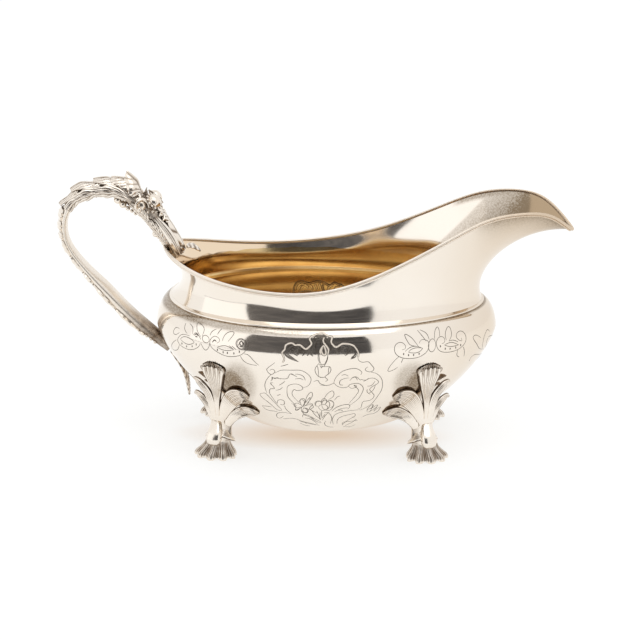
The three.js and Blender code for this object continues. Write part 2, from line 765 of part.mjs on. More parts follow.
for (const [endName, end] of [['front', 1], ['back', -1]]) {
  for (const [sideName, side] of [['near', -1], ['far', 1]]) {
    const place = footPlace(end, side);
    const leg = solidOf(legStem(place)).add(solidOf(legLeaf(place)));
    addPiece(`leg_${endName}_${sideName}`, geometryOf(leg), castSilver);
    addPiece(`foot_shell_${endName}_${sideName}`, footShell(place), castSilver);
  }
}

addPiece('handle_loop', fittedTo(strapSolid(0), bowlSpace, neckSpace), silver);
const rootLeaf = strapLeaf({
  from: rootPlaces[0],
  to: rootPlaces[1],
  spread: bladeOutline(58),
  lift: noLift,
  thickness: rootSwell,
  flutes: 3,
});
addPiece('handle_root_leaf', fittedTo(rootLeaf, neckSpace), castSilver);
for (const [sideName, side] of [['near', 1], ['far', -1]]) {
  const sideLeaf = strapLeaf({
    from: sideLeafPlaces[0],
    to: sideLeafPlaces[1],
    middle: side * sideLeafTurn,
    spread: bladeOutline(38),
    lift: noLift,
    thickness: leafSwell,
    flutes: 5,
    rows: 6,
  });
  addPiece(`handle_side_leaf_${sideName}`, fittedTo(sideLeaf, neckSpace), castSilver);
  addPiece(`rosette_${sideName}`, fittedTo(rosette(side), strapSpace), castSilver);
}
addPiece('handle_pearls', fittedTo(pearlRow(), neckSpace), castSilver);
addPiece('handle_crest_leaf', crestLeaf(crestPlaces, bladePlaces[0][0]), castSilver);
bladePlaces.forEach((places, index) => {
  const nextRoot = index + 1 < bladePlaces.length ? bladePlaces[index + 1][0] : bandPlaces[0];
  addPiece(`handle_arch_leaf_${index + 1}`, archBlade(places, nextRoot), castSilver);
});
addPiece('handle_lower_band', fittedTo(lowerBand(bandPlaces), bowlSpace), castSilver);
addPiece('handle_tail_leaf', fittedTo(tailLeaf(), bowlSpace, strapSpace), castSilver);
addPiece('handle_tongue_leaf', fittedTo(tongueLeaf(), neckSpace), castSilver);

// Origin under the middle of the whole piece, on the table.
const reach = new THREE.Box3().setFromObject(boat);
boat.position.set(-(reach.min.x + reach.max.x) / 2, 0, 0);

export default boat;
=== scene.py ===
"""Silver sauce boat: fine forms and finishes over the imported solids."""

import bpy
import numpy as np
from mathutils import Matrix, Vector


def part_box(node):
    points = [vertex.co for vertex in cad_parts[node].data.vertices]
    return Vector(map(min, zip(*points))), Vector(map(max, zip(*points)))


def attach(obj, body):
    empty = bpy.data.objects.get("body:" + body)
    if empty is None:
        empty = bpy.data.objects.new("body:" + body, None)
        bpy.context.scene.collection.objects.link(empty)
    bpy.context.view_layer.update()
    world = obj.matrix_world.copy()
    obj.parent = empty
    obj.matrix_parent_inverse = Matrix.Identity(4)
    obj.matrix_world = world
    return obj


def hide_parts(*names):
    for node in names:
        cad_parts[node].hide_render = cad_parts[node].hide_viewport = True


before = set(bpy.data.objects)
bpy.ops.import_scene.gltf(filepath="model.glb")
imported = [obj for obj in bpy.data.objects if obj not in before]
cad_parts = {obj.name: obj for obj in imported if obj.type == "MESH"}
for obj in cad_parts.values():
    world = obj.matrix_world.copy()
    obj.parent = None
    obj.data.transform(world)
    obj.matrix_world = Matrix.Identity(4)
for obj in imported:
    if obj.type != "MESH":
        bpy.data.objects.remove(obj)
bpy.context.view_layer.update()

# Sizes in millimetres, as in the part's source. Shapes are worked out with the bowl's middle at
# x = 0, and moved to the part's own place when their mesh is made.
MM = 0.001
bowl_low, bowl_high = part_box("bowl")
BOWL_MIDDLE = (bowl_low.x + bowl_high.x) / 2 / MM
SHEET = 1.1
OVAL_EGG = 0.095
FLOOR_HEIGHT, FLOOR_HALF = 12.0, (33.0, 28.0)
BILGE_POWER = 1.36
BELLY_HEIGHT, BELLY_HALF = 49.5, (69.1, 47.31)
SHOULDER_HEIGHT, SHOULDER_HALF = 60.2, (63.8, 42.6)
SHOULDER_POWER = 1.85
LEDGE_WIDTH = (2.4, 6.0)
MOULDING_HEIGHT, MOULDING_EDGE = 0.9, 0.45
NECK_FOOT = SHOULDER_HEIGHT + MOULDING_HEIGHT
NECK_FOOT_HALF = (63.1, 38.2)
STEP = 1e-3
BOWL_COLUMNS, NECK_COLUMNS, NECK_ROWS = 288, 320, 44


# Numbers and curves

def eased(value):
    """Rises from 0 to 1 with level ends: 3 v^2 - 2 v^3."""
    v = np.clip(value, 0.0, 1.0)
    return v * v * (3 - 2 * v)


def blended(low, high, share):
    """The value at a share of the way from low to high."""
    return low + (high - low) * share


def bell(value, spread):
    """Smooth hump, 1 where the value is 0: exp(-(value / spread)^2)."""
    return np.exp(-((value / spread) ** 2))


def span_cubic(start, end, slope, next_slope, f):
    """Cubic over one span with the given values and slopes at its ends, at a share f of it."""
    rise = end - start
    square = 3 * rise - 2 * slope - next_slope
    cubic = slope + next_slope - 2 * rise
    return start + slope * f + square * f**2 + cubic * f**3


def ring_spline(values, u):
    """Smooth closed curve through equally spaced values, read at places u.

    A cubic per span whose slopes m solve m[i-1] + 4 m[i] + m[i+1] = 3 (v[i+1] - v[i-1]).
    """
    v = np.asarray(values, float)
    n = len(v)
    system = 4 * np.eye(n) + np.roll(np.eye(n), 1, axis=0) + np.roll(np.eye(n), -1, axis=0)
    slopes = np.linalg.solve(system, 3 * (np.roll(v, -1) - np.roll(v, 1)))
    place = np.mod(u, n)
    i = np.floor(place).astype(int) % n
    j = (i + 1) % n
    return span_cubic(v[i], v[j], slopes[i], slopes[j], place - np.floor(place))


def mirrored_spline(values, u, odd=False):
    """The same through half a loop of values and their mirror image, turned over where odd."""
    v = np.asarray(values, float)
    back = v[-2:0:-1] * (-1 if odd else 1)
    return ring_spline(np.concatenate([v, back]), u)


def open_spline(values, u):
    """Smooth curve through values at places 0, 1, 2 and so on, with free ends.

    Slopes solve the same rows as ring_spline, with 2 m[0] + m[1] = 3 (v[1] - v[0]) at the ends.
    """
    v = np.asarray(values, float)
    n = len(v)
    system = 4 * np.eye(n) + np.eye(n, k=1) + np.eye(n, k=-1)
    system[0, 0] = system[-1, -1] = 2
    padded = np.concatenate([v[:1], v, v[-1:]])
    slopes = np.linalg.solve(system, 3 * (padded[2:] - padded[:-2]))
    i = np.clip(np.floor(u).astype(int), 0, n - 2)
    return span_cubic(v[i], v[i + 1], slopes[i], slopes[i + 1], np.asarray(u, float) - i)


def unit(vectors):
    """Vectors scaled to length 1 along the last axis."""
    return vectors / np.maximum(np.linalg.norm(vectors, axis=-1, keepdims=True), 1e-12)


def full_turn(columns):
    """Equally spaced angles of one turn, as a row."""
    return np.linspace(0, 2 * np.pi, columns, endpoint=False)[None, :]


def as_columns(rows):
    """Each value of a list of rows as an upright array of its own."""
    return (np.array(values)[:, None] for values in zip(*rows))


# Meshes

def spout_tint_and_reflection(x):
    """How much warmer and yellower the silver is, from 0 to 1 towards the spout, partly as a painted
    warm reflection.
    """
    return 0.5 * eased((x - 30) / 40) + 0.5 * eased((x - 55) / 30)


def keep_marks(mesh, name, values):
    """Stores one value a point on the mesh for its material."""
    marks = mesh.attributes.get(name) or mesh.attributes.new(name, "FLOAT", "POINT")
    marks.data.foreach_set("value", np.ascontiguousarray(values, float).ravel())


def hand_over(name, mesh):
    """Puts a mesh in the scene as an object at the origin."""
    piece = bpy.data.objects.new(name, mesh)
    bpy.context.scene.collection.objects.link(piece)
    return piece


class Shell:
    """Closed skins gathered into one mesh, each a grid of points (rows, columns, 3)."""

    def __init__(self):
        self.points, self.quads, self.fans, self.marks = [], [], [], []
        self.count = 0

    def add(self, points, mark=0.0, closes_on_itself=False):
        """One skin: columns always wrap; rows wrap too, or end in a fan over each end ring."""
        rows, columns = points.shape[:2]
        marks = np.broadcast_to(np.asarray(mark, float), (rows, columns))
        flat, flat_marks = points.reshape(-1, 3), marks.reshape(-1)
        index = np.arange(rows * columns).reshape(rows, columns)
        around = np.roll(index, -1, axis=1)
        above, above_around = np.roll(index, -1, axis=0), np.roll(around, -1, axis=0)
        quads = np.stack([index, around, above_around, above], axis=-1)
        fans = np.empty((0, 3), int)
        if not closes_on_itself:
            quads = quads[:-1]
            hubs = [points[0].mean(axis=0), points[-1].mean(axis=0)]
            flat = np.concatenate([flat, hubs])
            flat_marks = np.concatenate([flat_marks, [marks[0].mean(), marks[-1].mean()]])
            first, last = np.full(columns, rows * columns), np.full(columns, rows * columns + 1)
            fans = np.concatenate([
                np.stack([first, around[0], index[0]], axis=-1),
                np.stack([last, index[-1], around[-1]], axis=-1),
            ])
        quads = quads.reshape(-1, 4)
        if self.volume(flat, np.concatenate([quads[:, :3], quads[:, [0, 2, 3]], fans])) < 0:
            quads, fans = quads[:, ::-1], fans[:, ::-1]
        self.quads.append(quads + self.count)
        self.fans.append(fans + self.count)
        self.points.append(flat)
        self.marks.append(flat_marks)
        self.count += len(flat)

    @staticmethod
    def volume(points, triangles):
        """Six times the volume inside the triangles, below 0 where they face inwards."""
        a, b, c = (points[triangles[:, k]] for k in range(3))
        return np.einsum("ij,ij->", a, np.cross(b, c))

    def finish(self, name, material, replaced, attribute="oxide_and_shade", sharp=40.0):
        """Makes the mesh object and hands it over to the frame."""
        points = np.concatenate(self.points)
        quads, fans = np.concatenate(self.quads), np.concatenate(self.fans)
        corners = np.concatenate([quads.ravel(), fans.ravel()])
        fan_start = quads.size
        starts = np.concatenate([np.arange(len(quads)) * 4, fan_start + np.arange(len(fans)) * 3])
        mesh = bpy.data.meshes.new(name)
        mesh.vertices.add(len(points))
        mesh.vertices.foreach_set("co", ((points + [BOWL_MIDDLE, 0, 0]) * MM).ravel())
        mesh.loops.add(len(corners))
        mesh.loops.foreach_set("vertex_index", corners)
        mesh.polygons.add(len(starts))
        mesh.polygons.foreach_set("loop_start", starts)
        mesh.update(calc_edges=True)
        mesh.validate()
        mesh.shade_smooth()
        mesh.set_sharp_from_angle(angle=np.radians(sharp))
        keep_marks(mesh, attribute, np.concatenate(self.marks))
        keep_marks(mesh, "warmth", spout_tint_and_reflection(points[:, 0]))
        mesh.materials.append(material)
        piece = hand_over(name, mesh)
        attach(piece, "root")
        if replaced:
            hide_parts(*replaced)
        return piece


# Finishes

class Nodes:
    """Short hand for building the nodes of one material or world."""

    def __init__(self, owner):
        owner.use_nodes = True
        self.owner, self.tree = owner, owner.node_tree

    def plug(self, socket, value):
        """Sets a socket to a plain value, or links an output to it."""
        if isinstance(value, bpy.types.NodeSocket):
            self.tree.links.new(value, socket)
        else:
            socket.default_value = value

    def add(self, kind, inputs=(), **settings):
        """A node of a kind with its settings; inputs is pairs of socket and value or output."""
        node = self.tree.nodes.new(kind)
        for key, value in settings.items():
            setattr(node, key, value)
        for socket, value in inputs:
            self.plug(node.inputs[socket], value)
        return node

    def place(self, scale=(1, 1, 1)):
        """Object coordinates, stretched by scale."""
        where = self.add("ShaderNodeTexCoord").outputs["Object"]
        return self.add("ShaderNodeMapping", [("Vector", where), ("Scale", scale)]).outputs["Vector"]

    def axis(self, name):
        """Object coordinate along one axis."""
        return self.add("ShaderNodeSeparateXYZ", [("Vector", self.place())]).outputs[name]

    def noise(self, scale, detail, stretch=(1, 1, 1), roughness=0.55):
        """Cloudy value from 0 to 1; scale is the number of clouds in a metre."""
        return self.add("ShaderNodeTexNoise", [
            ("Vector", self.place(stretch)), ("Scale", scale), ("Detail", detail),
            ("Roughness", roughness),
        ]).outputs["Fac"]

    def ranged(self, value, low, high, to_low, to_high):
        """A value carried from one range to another and held at its ends."""
        return self.add("ShaderNodeMapRange", [
            ("Value", value), ("From Min", low), ("From Max", high),
            ("To Min", to_low), ("To Max", to_high),
        ]).outputs["Result"]

    def mixed(self, share, first, second):
        """Colour at a share of the way from the first colour to the second."""
        sockets = [(0, share), (6, first), (7, second)]
        return self.add("ShaderNodeMix", sockets, data_type="RGBA").outputs[2]

    def maths(self, operation, first, second):
        """One sum on two values."""
        return self.add("ShaderNodeMath", [(0, first), (1, second)], operation=operation).outputs[0]

    def mark(self, name):
        """A value kept on the mesh's points."""
        return self.add("ShaderNodeAttribute", attribute_name=name).outputs["Fac"]

    def bump(self, height, strength, distance):
        """Normal pushed by a height, distance in metres."""
        return self.add("ShaderNodeBump", [
            ("Height", height), ("Strength", strength), ("Distance", distance),
        ]).outputs["Normal"]

    def shade(self, **inputs):
        """Sets or links the shader's own sockets, named with underscores for spaces."""
        shader = self.tree.nodes["Principled BSDF"]
        for key, value in inputs.items():
            self.plug(shader.inputs[key.replace("_", " ")], value)
        return self.owner

    def metal(self, colour, roughness, normal):
        """The material as bare metal."""
        return self.shade(Base_Color=colour, Metallic=1.0, Roughness=roughness, Normal=normal)


SILVER_BRIGHT = (0.90, 0.83, 0.745, 1)
SILVER_WARM = (0.86, 0.775, 0.67, 1)
SILVER_TINT_AND_REFLECTION = (0.70, 0.575, 0.44, 1)
WORN_GILT = (0.83, 0.66, 0.47, 1)
DARKENING_AND_SHADE = (0.25, 0.185, 0.12, 1)
GILT_BRIGHT = (0.79, 0.6, 0.32, 1)
GILT_DEEP = (0.61, 0.4, 0.185, 1)
OXIDE_AND_SHADE = (0.19, 0.125, 0.075, 1)
CUT_SHADE = (0.13, 0.11, 0.09, 1)
POLISH_ROUGHNESS = (0.07, 0.13)
GILT_ROUGHNESS = 0.09
GILT_TOP, GILT_TOP_WANDER = 70 * MM, 0.3 * MM


def fresh_silver(n):
    """Colour of clean silver: faint warm clouds."""
    return n.mixed(n.ranged(n.noise(26, 4), 0.4, 0.66, 0, 0.55), SILVER_BRIGHT, SILVER_WARM)


def polish(n, dulled=0.0):
    """A soft, uneven gloss."""
    smooth, rough = POLISH_ROUGHNESS
    return n.ranged(n.noise(70, 3), 0.35, 0.7, smooth + dulled, rough + dulled)


def hairlines(n):
    """Faint lines left by hand polishing."""
    return n.bump(n.noise(900, 2, (0.12, 1, 1)), 0.02, 0.05 * MM)


def polished_silver(name, dulled):
    """Hand-polished silver, warmer and yellower where marked, partly as a painted warm reflection,
    dulled by an added roughness.
    """
    n = Nodes(bpy.data.materials.new(name))
    colour = n.mixed(n.mark("warmth"), fresh_silver(n), SILVER_TINT_AND_REFLECTION)
    return n.metal(colour, polish(n, dulled), hairlines(n))


def lined_silver(name):
    """Polished silver, darkened where marked, partly as painted shade; inside, marked 1 on the mesh,
    gilt up to a level line.
    """
    n = Nodes(bpy.data.materials.new(name))
    inside = n.ranged(n.mark("inside"), 0.4, 0.6, 0, 1)
    # Outside, yellower towards the spout, partly a painted warm reflection; inside, worn gilt.
    warm_tint = n.mixed(inside, SILVER_TINT_AND_REFLECTION, WORN_GILT)
    specks = n.ranged(n.noise(1500, 4, roughness=0.75), 0.42, 0.6, 0.72, 1.2)
    # Darkening where marked: painted shade at the bowl's crease, behind the legs and under the neck's
    # rim.
    dark_share = n.maths("MULTIPLY", n.mark("darkening_and_shade"), specks)
    outside = n.mixed(dark_share, n.mixed(n.mark("warmth"), fresh_silver(n), warm_tint), DARKENING_AND_SHADE)
    wander = n.ranged(n.noise(160, 2), 0.3, 0.7, -GILT_TOP_WANDER, GILT_TOP_WANDER)
    below = n.maths("LESS_THAN", n.axis("Z"), n.maths("ADD", GILT_TOP, wander))
    gilded = n.maths("MULTIPLY", below, inside)
    gilt = n.mixed(n.ranged(n.noise(55, 4), 0.38, 0.66, 0, 1), GILT_BRIGHT, GILT_DEEP)
    roughness = n.maths("ADD", polish(n), n.maths("MULTIPLY", gilded, GILT_ROUGHNESS))
    return n.metal(n.mixed(gilded, outside, gilt), roughness, hairlines(n))


def chased_metal(name, roughness, bright=SILVER_BRIGHT, warm=SILVER_WARM):
    """Cast and chased metal: bright where polish reaches, brown-black where marked: oxide in the
    recesses, and painted shade at edges, undersides and under other parts.
    """
    n = Nodes(bpy.data.materials.new(name))
    clean = n.mixed(n.ranged(n.noise(90, 4), 0.38, 0.66, 0, 0.8), bright, warm)
    # Marked darkness: oxide in the recesses and painted shade.
    depth = n.ranged(n.mark("oxide_and_shade"), 0.12, 0.9, 0, 1)
    share = n.maths("MULTIPLY", depth, n.ranged(n.noise(420, 3), 0.3, 0.7, 0.7, 1.25))
    grain = n.bump(n.noise(1500, 2), 0.12, 0.06 * MM)
    return n.metal(n.mixed(share, clean, OXIDE_AND_SHADE), n.ranged(depth, 0, 1, roughness, 0.5), grain)


def cut_silver(name):
    """Engraved lines: bright cuts where marked 0, shaded ones where marked 1."""
    n = Nodes(bpy.data.materials.new(name))
    shade = n.maths("MULTIPLY", n.mark("oxide_and_shade"), n.ranged(n.noise(300, 3), 0.3, 0.7, 0.8, 1.1))
    grain = n.bump(n.noise(1200, 2), 0.1, 0.04 * MM)
    return n.metal(n.mixed(shade, SILVER_BRIGHT, CUT_SHADE), n.ranged(shade, 0, 1, 0.75, 0.4), grain)


silver = polished_silver("polished silver", 0.0)
wire_silver = polished_silver("worn wire silver", 0.42)
engraved = cut_silver("engraved cuts")
bowl_silver = lined_silver("silver gilt inside")
neck_silver = lined_silver("silver neck")
chased = chased_metal("chased silver", 0.16)
strap_silver = chased_metal("cast strap silver", 0.34)
# Lighter gilt than the inside, for the pressed ribs: painted highlight.
pressed_gilt = chased_metal("pressed gilt", 0.16, WORN_GILT, GILT_BRIGHT)


# Bowl

def bilge_share(height):
    """Share of the way from floor size to belly size: (1 - (1 - t)^p)^(1/p) up to the belly."""
    t = np.clip((height - FLOOR_HEIGHT) / (BELLY_HEIGHT - FLOOR_HEIGHT), 0, 1)
    return (1 - (1 - t) ** BILGE_POWER) ** (1 / BILGE_POWER)


def oval(half_length, half_width, angle):
    """Plan of the bowl: an ellipse, fuller towards the handle, its width times 1 - egg cos(angle)."""
    c = np.cos(angle)
    return half_length * c, half_width * np.sin(angle) * (1 - OVAL_EGG * c)


def bowl_half(height):
    """Half length and half width of the bowl's outside at a height."""
    s = bilge_share(height)
    rise = np.clip((height - BELLY_HEIGHT) / (SHOULDER_HEIGHT - BELLY_HEIGHT), 0, 1)
    inward = 1 - np.maximum(1 - rise**SHOULDER_POWER, 0) ** (1 / SHOULDER_POWER)
    return tuple(
        blended(blended(floor, belly, s), shoulder, inward)
        for floor, belly, shoulder in zip(FLOOR_HALF, BELLY_HALF, SHOULDER_HALF)
    )


def bowl_profile():
    """Rows of half length, half width and height up the outside, dense where it bends."""
    low = FLOOR_HEIGHT + (BELLY_HEIGHT - FLOOR_HEIGHT) * np.linspace(0, 1, 40) ** 1.7
    turn = np.radians(np.linspace(0, 90, 22))[1:]
    high = BELLY_HEIGHT + (SHOULDER_HEIGHT - BELLY_HEIGHT) * np.sin(turn) ** (2 / SHOULDER_POWER)
    height = np.concatenate([low, high])
    half_length, half_width = bowl_half(height)
    return np.stack([half_length, half_width, height], axis=1)


def moved_profile(profile, distance):
    """A profile moved outwards along its own normal, inwards where negative."""
    slope = np.gradient(profile, axis=0)
    along = np.hypot(slope[:, 0], slope[:, 2])
    across = np.hypot(slope[:, 1], slope[:, 2])
    moved = profile.copy()
    moved[:, 0] += distance * slope[:, 2] / along
    moved[:, 1] += distance * slope[:, 2] / across
    moved[:, 2] -= distance * (slope[:, 0] / along + slope[:, 1] / across) / 2
    return moved


def oval_rings(rows):
    """A ring of points for each row of half length, half width and height."""
    rows = np.asarray(rows, float)
    x, y = oval(rows[:, :1], rows[:, 1:2], full_turn(BOWL_COLUMNS))
    return np.stack([x, y, np.broadcast_to(rows[:, 2:3], x.shape)], axis=-1)


# Middle of the painted shadow and reflection of a leg's leaf on the bowl: along it and above the table
LEAF_SHADE_ALONG, LEAF_SHADE_ABOVE = 34.5, 35.5


def bowl_darkening_and_shade(points):
    """A dark crease line under the shoulder and the leaf's shadow and reflection behind each leg, all
    painted shade, and a darker band just under the shoulder towards the handle.
    """
    x, y, z = (points[..., k] for k in range(3))
    below = SHOULDER_HEIGHT - z
    toward_handle = 0.5 * eased((6 - x) / 22) + 0.3 * eased((-44 - x) / 10)
    shoulder_band = toward_handle * eased((2.9 - below) / 1.4)
    # Painted shade: the dark crease line under the shoulder.
    crease = 0.95 * eased((0.42 - below) / 0.3)
    # Painted shadow and reflection of the leaf behind each leg.
    along, above = np.abs(x) - LEAF_SHADE_ALONG, z - LEAF_SHADE_ABOVE
    around_leaf = 0.5 * eased((1.05 - np.hypot(along / 8.5, above / 12)) / 0.5)
    close_by = 0.5 * eased((1 - np.hypot((along - 3) / 6.5, (above + 2) / 9.5)) / 0.4)
    leaf_shade = (around_leaf + close_by) * (np.abs(y) > 10)
    return np.maximum(np.maximum(shoulder_band, crease), leaf_shade)


def make_bowl():
    """The bowl's wall, floor and ledge under the neck in one skin, its inside marked for gilding."""
    outer = bowl_profile()
    inner = moved_profile(outer, -SHEET)
    inner = inner[inner[:, 2] > FLOOR_HEIGHT + SHEET]
    inner = inner[inner[:, 2] < SHOULDER_HEIGHT - SHEET - 0.2]
    flat = [1, 1, 0]
    under = outer[0] * flat * np.linspace(0.02, 0.97, 8)[:, None] + [0, 0, FLOOR_HEIGHT]
    floor = inner[0] * flat * np.linspace(0.02, 0.97, 10)[:, None] + [0, 0, FLOOR_HEIGHT + SHEET]
    ledge = [outer[-1, 0] - LEDGE_WIDTH[0], outer[-1, 1] - LEDGE_WIDTH[1]]
    turned_in = [[*ledge, SHOULDER_HEIGHT], [*ledge, SHOULDER_HEIGHT - SHEET]]
    rows = np.concatenate([under, outer, turned_in, inner[::-1], floor[::-1]])
    points = oval_rings(rows)
    inside = np.zeros((len(rows), 1))
    inside[len(under) + len(outer):] = 1
    shell = Shell()
    shell.add(points, inside)
    piece = shell.finish("bowl_wall", bowl_silver, ["bowl"], "inside")
    # Painted shade and darkening on the outside of the bowl.
    marks = np.where(inside > 0.5, 0, bowl_darkening_and_shade(points)).ravel()
    keep_marks(piece.data, "darkening_and_shade", np.concatenate([marks, [0, 0]]))


def make_moulding():
    """Strip on the shoulder: a round edge over the crease, then a slope in to the neck's foot."""
    turn = np.radians(np.linspace(-50, 80, 9))
    edge = np.stack([MOULDING_EDGE * np.cos(turn) - 0.3, MOULDING_EDGE * (np.sin(turn) + 0.77)], axis=1)
    rows = [[SHOULDER_HALF[0] + out, SHOULDER_HALF[1] + out, SHOULDER_HEIGHT + up] for out, up in edge]
    first = np.array(rows[-1])
    last = np.array([NECK_FOOT_HALF[0] - 0.1, NECK_FOOT_HALF[1] - 0.1, NECK_FOOT])
    rows += [blended(first, last, share) for share in (0.25, 0.5, 0.75, 1)]
    inner = [SHOULDER_HALF[0] - LEDGE_WIDTH[0], SHOULDER_HALF[1] - LEDGE_WIDTH[1]]
    rows += [[*inner, NECK_FOOT], [*inner, SHOULDER_HEIGHT]]
    shell = Shell()
    shell.add(oval_rings(rows), closes_on_itself=True)
    shell.finish("shoulder_strip", silver, ["shoulder_moulding"])


# Neck and spout: stations round one half, from the spout's tip to the back. Each gives the base
# angle, the top edge, how far the wall leans in and how high, and the way down from the edge.
NECK_ANGLE = [0, 11, 22, 36, 52, 70, 90, 110, 133, 157, 180]
NECK_EDGE_X = [97.8, 91.2, 80.6, 64.6, 48, 24, 0, -22, -42, -58.2, -65.3]
NECK_EDGE_Y = [0, 9.2, 16.1, 20.6, 25.8, 32.1, 37.2, 35.3, 28.9, 17.2, 0]
NECK_EDGE_Z = [90.2, 96.4, 100.4, 98.8, 91.5, 80, 72.9, 71.4, 73.3, 77.3, 80.2]
NECK_LEAN = [5.7, 5.6, 5, 4.2, 3.4, 2, 1.9, 1.7, 2.4, 4.2, 6.3]
NECK_RISE = [13.5, 13.5, 13, 11, 8, 4.3, 4.2, 3.7, 5, 6, 5]
NECK_FLARE_X = [-20, -15.5, -11.5, -5.5, -2, 0.1, 0, 0.1, 0.6, 4.2, 7.6]
NECK_FLARE_Y = [0, -0.6, -1.4, -1.8, -1.3, 0.5, -0.1, -0.1, -0.4, -1.8, 0]
NECK_FLARE_Z = [1.6, -3.6, -8, -10, -8, -8, -4.2, -4.6, -4, -6.4, -6.4]
NECK_SPANS = len(NECK_ANGLE) - 1


def neck_surface(u, v):
    """Outside of the neck at place u round the loop (0 the tip, 10 the back) and share v up it.

    One cubic curve per place: base, base leaning inwards, edge plus its flare, edge.
    """
    u, v = np.broadcast_arrays(np.asarray(u, float), np.asarray(v, float))
    even = 180 / NECK_SPANS * np.arange(NECK_SPANS + 1)
    angle = np.radians(180 / NECK_SPANS * u + mirrored_spline(NECK_ANGLE - even, u, odd=True))
    half_length, half_width = NECK_FOOT_HALF
    x, y = oval(half_length, half_width, angle)
    out = unit(np.stack([np.cos(angle) / half_length, np.sin(angle) / half_width], axis=-1))
    lean = mirrored_spline(NECK_LEAN, u)
    base = np.stack([x, y, np.full_like(x, NECK_FOOT)], axis=-1)
    rise = mirrored_spline(NECK_RISE, u)
    waist = base + np.stack([-out[..., 0] * lean, -out[..., 1] * lean, rise], axis=-1)
    edge = np.stack([
        mirrored_spline(NECK_EDGE_X, u),
        mirrored_spline(NECK_EDGE_Y, u, odd=True),
        mirrored_spline(NECK_EDGE_Z, u),
    ], axis=-1)
    flare = edge + np.stack([
        mirrored_spline(NECK_FLARE_X, u),
        mirrored_spline(NECK_FLARE_Y, u, odd=True),
        mirrored_spline(NECK_FLARE_Z, u),
    ], axis=-1)
    v = v[..., None]
    return (
        (1 - v) ** 3 * base
        + 3 * (1 - v) ** 2 * v * waist
        + 3 * (1 - v) * v**2 * flare
        + v**3 * edge
    )


def neck_normal(u, v):
    """Normal of that surface, out of the vessel, from the cross of its two slopes."""
    around = neck_surface(u + STEP, v) - neck_surface(u - STEP, v)
    up = neck_surface(u, v + STEP) - neck_surface(u, v - STEP)
    return unit(np.cross(around, up))


def neck_places():
    """Equally spaced places round the whole loop of the neck."""
    return np.linspace(0, 2 * NECK_SPANS, NECK_COLUMNS, endpoint=False)


def make_neck():
    """The neck's wall, thinned at its edge; inside darker towards the spout's tip and along the top edge
    by the spout, and outside painted shade under the rim towards the spout.
    """
    v = np.linspace(0, 1, NECK_ROWS)[:, None]
    u = neck_places()[None, :]
    outer = neck_surface(u, v)
    lower_wall = SHEET + 0.5 * np.sin(np.pi * np.clip(v / 0.5, 0, 1) / 2)
    wall = np.where(v > 0.5, 0.35 + 1.25 * np.sin(np.pi * (1 - v)), lower_wall)
    inner = outer - wall[..., None] * neck_normal(u, v)
    inner[0, :, 2] = NECK_FOOT
    points = np.concatenate([outer, inner[::-1]])
    share_up = np.concatenate([v, v[::-1]])
    inside = np.concatenate([np.zeros_like(v), np.ones_like(v)])
    shell = Shell()
    shell.add(points, inside, closes_on_itself=True)
    piece = shell.finish("neck_wall", neck_silver, ["neck_and_spout"], "inside")
    x, z = points[..., 0], points[..., 2]
    past = x - 0.9 * (z - 92) - 58.5
    tip = 0.42 * eased(past / 1.5) + 0.26 * eased((past - 1) / 9) + 0.75 * eased((past - 9) / 12)
    far_edge = 0.7 * eased((x - 50) / 5) * eased((share_up - 0.9) / 0.07)
    # Painted shade outside just under the rim towards the spout.
    shade_under_rim = 0.9 * eased((x - 56) / 12) * share_up**7
    by_handle = 0.9 * eased((-12 - x) / 14)
    keep_marks(piece.data, "darkening_and_shade", np.where(inside > 0.5, np.maximum(tip, far_edge), shade_under_rim))
    keep_marks(piece.data, "warmth", np.where(inside > 0.5, by_handle, spout_tint_and_reflection(x)))


def make_rim_wire():
    """Reeded wire along the edge: a bold bead on top and a thin one under it outside."""
    turn = np.radians(np.linspace(-60, 235, 18))
    bead = np.stack([0.97 + 0.6 * np.sin(turn), -0.2 + 0.62 * np.cos(turn)], axis=1)
    turn = np.radians(np.linspace(215, 400, 9))
    thin = np.stack([0.1 + 0.3 * np.sin(turn), 0.36 + 0.36 * np.cos(turn)], axis=1)
    section = np.concatenate([bead, thin])[:, None, :, None]
    u = neck_places()
    edge = neck_surface(u, 1.0)
    up = unit(edge - neck_surface(u, 0.97))
    shell = Shell()
    points = edge + section[:, :, 0] * up + section[:, :, 1] * neck_normal(u, 1.0)
    shell.add(points, closes_on_itself=True)
    shell.finish("rim_bead", wire_silver, ["rim_wire"], sharp=60)


# Legs. A point is given by its distance across the leg (towards the handle or spout where above 0),
# its height, and how far it stands off the leg's own curved face.
FOOT_ALONG, FOOT_ACROSS, FOOT_SHIFT = 41.6, 25.6, -1.2
FOOT_HEADING = np.radians(72)
ANKLE_HEIGHT, LEAF_TOP = 14.0, 43.5
SOLDER_GAP = 0.3
OUTER_CURL, INNER_CURL = 0.034, 0.014


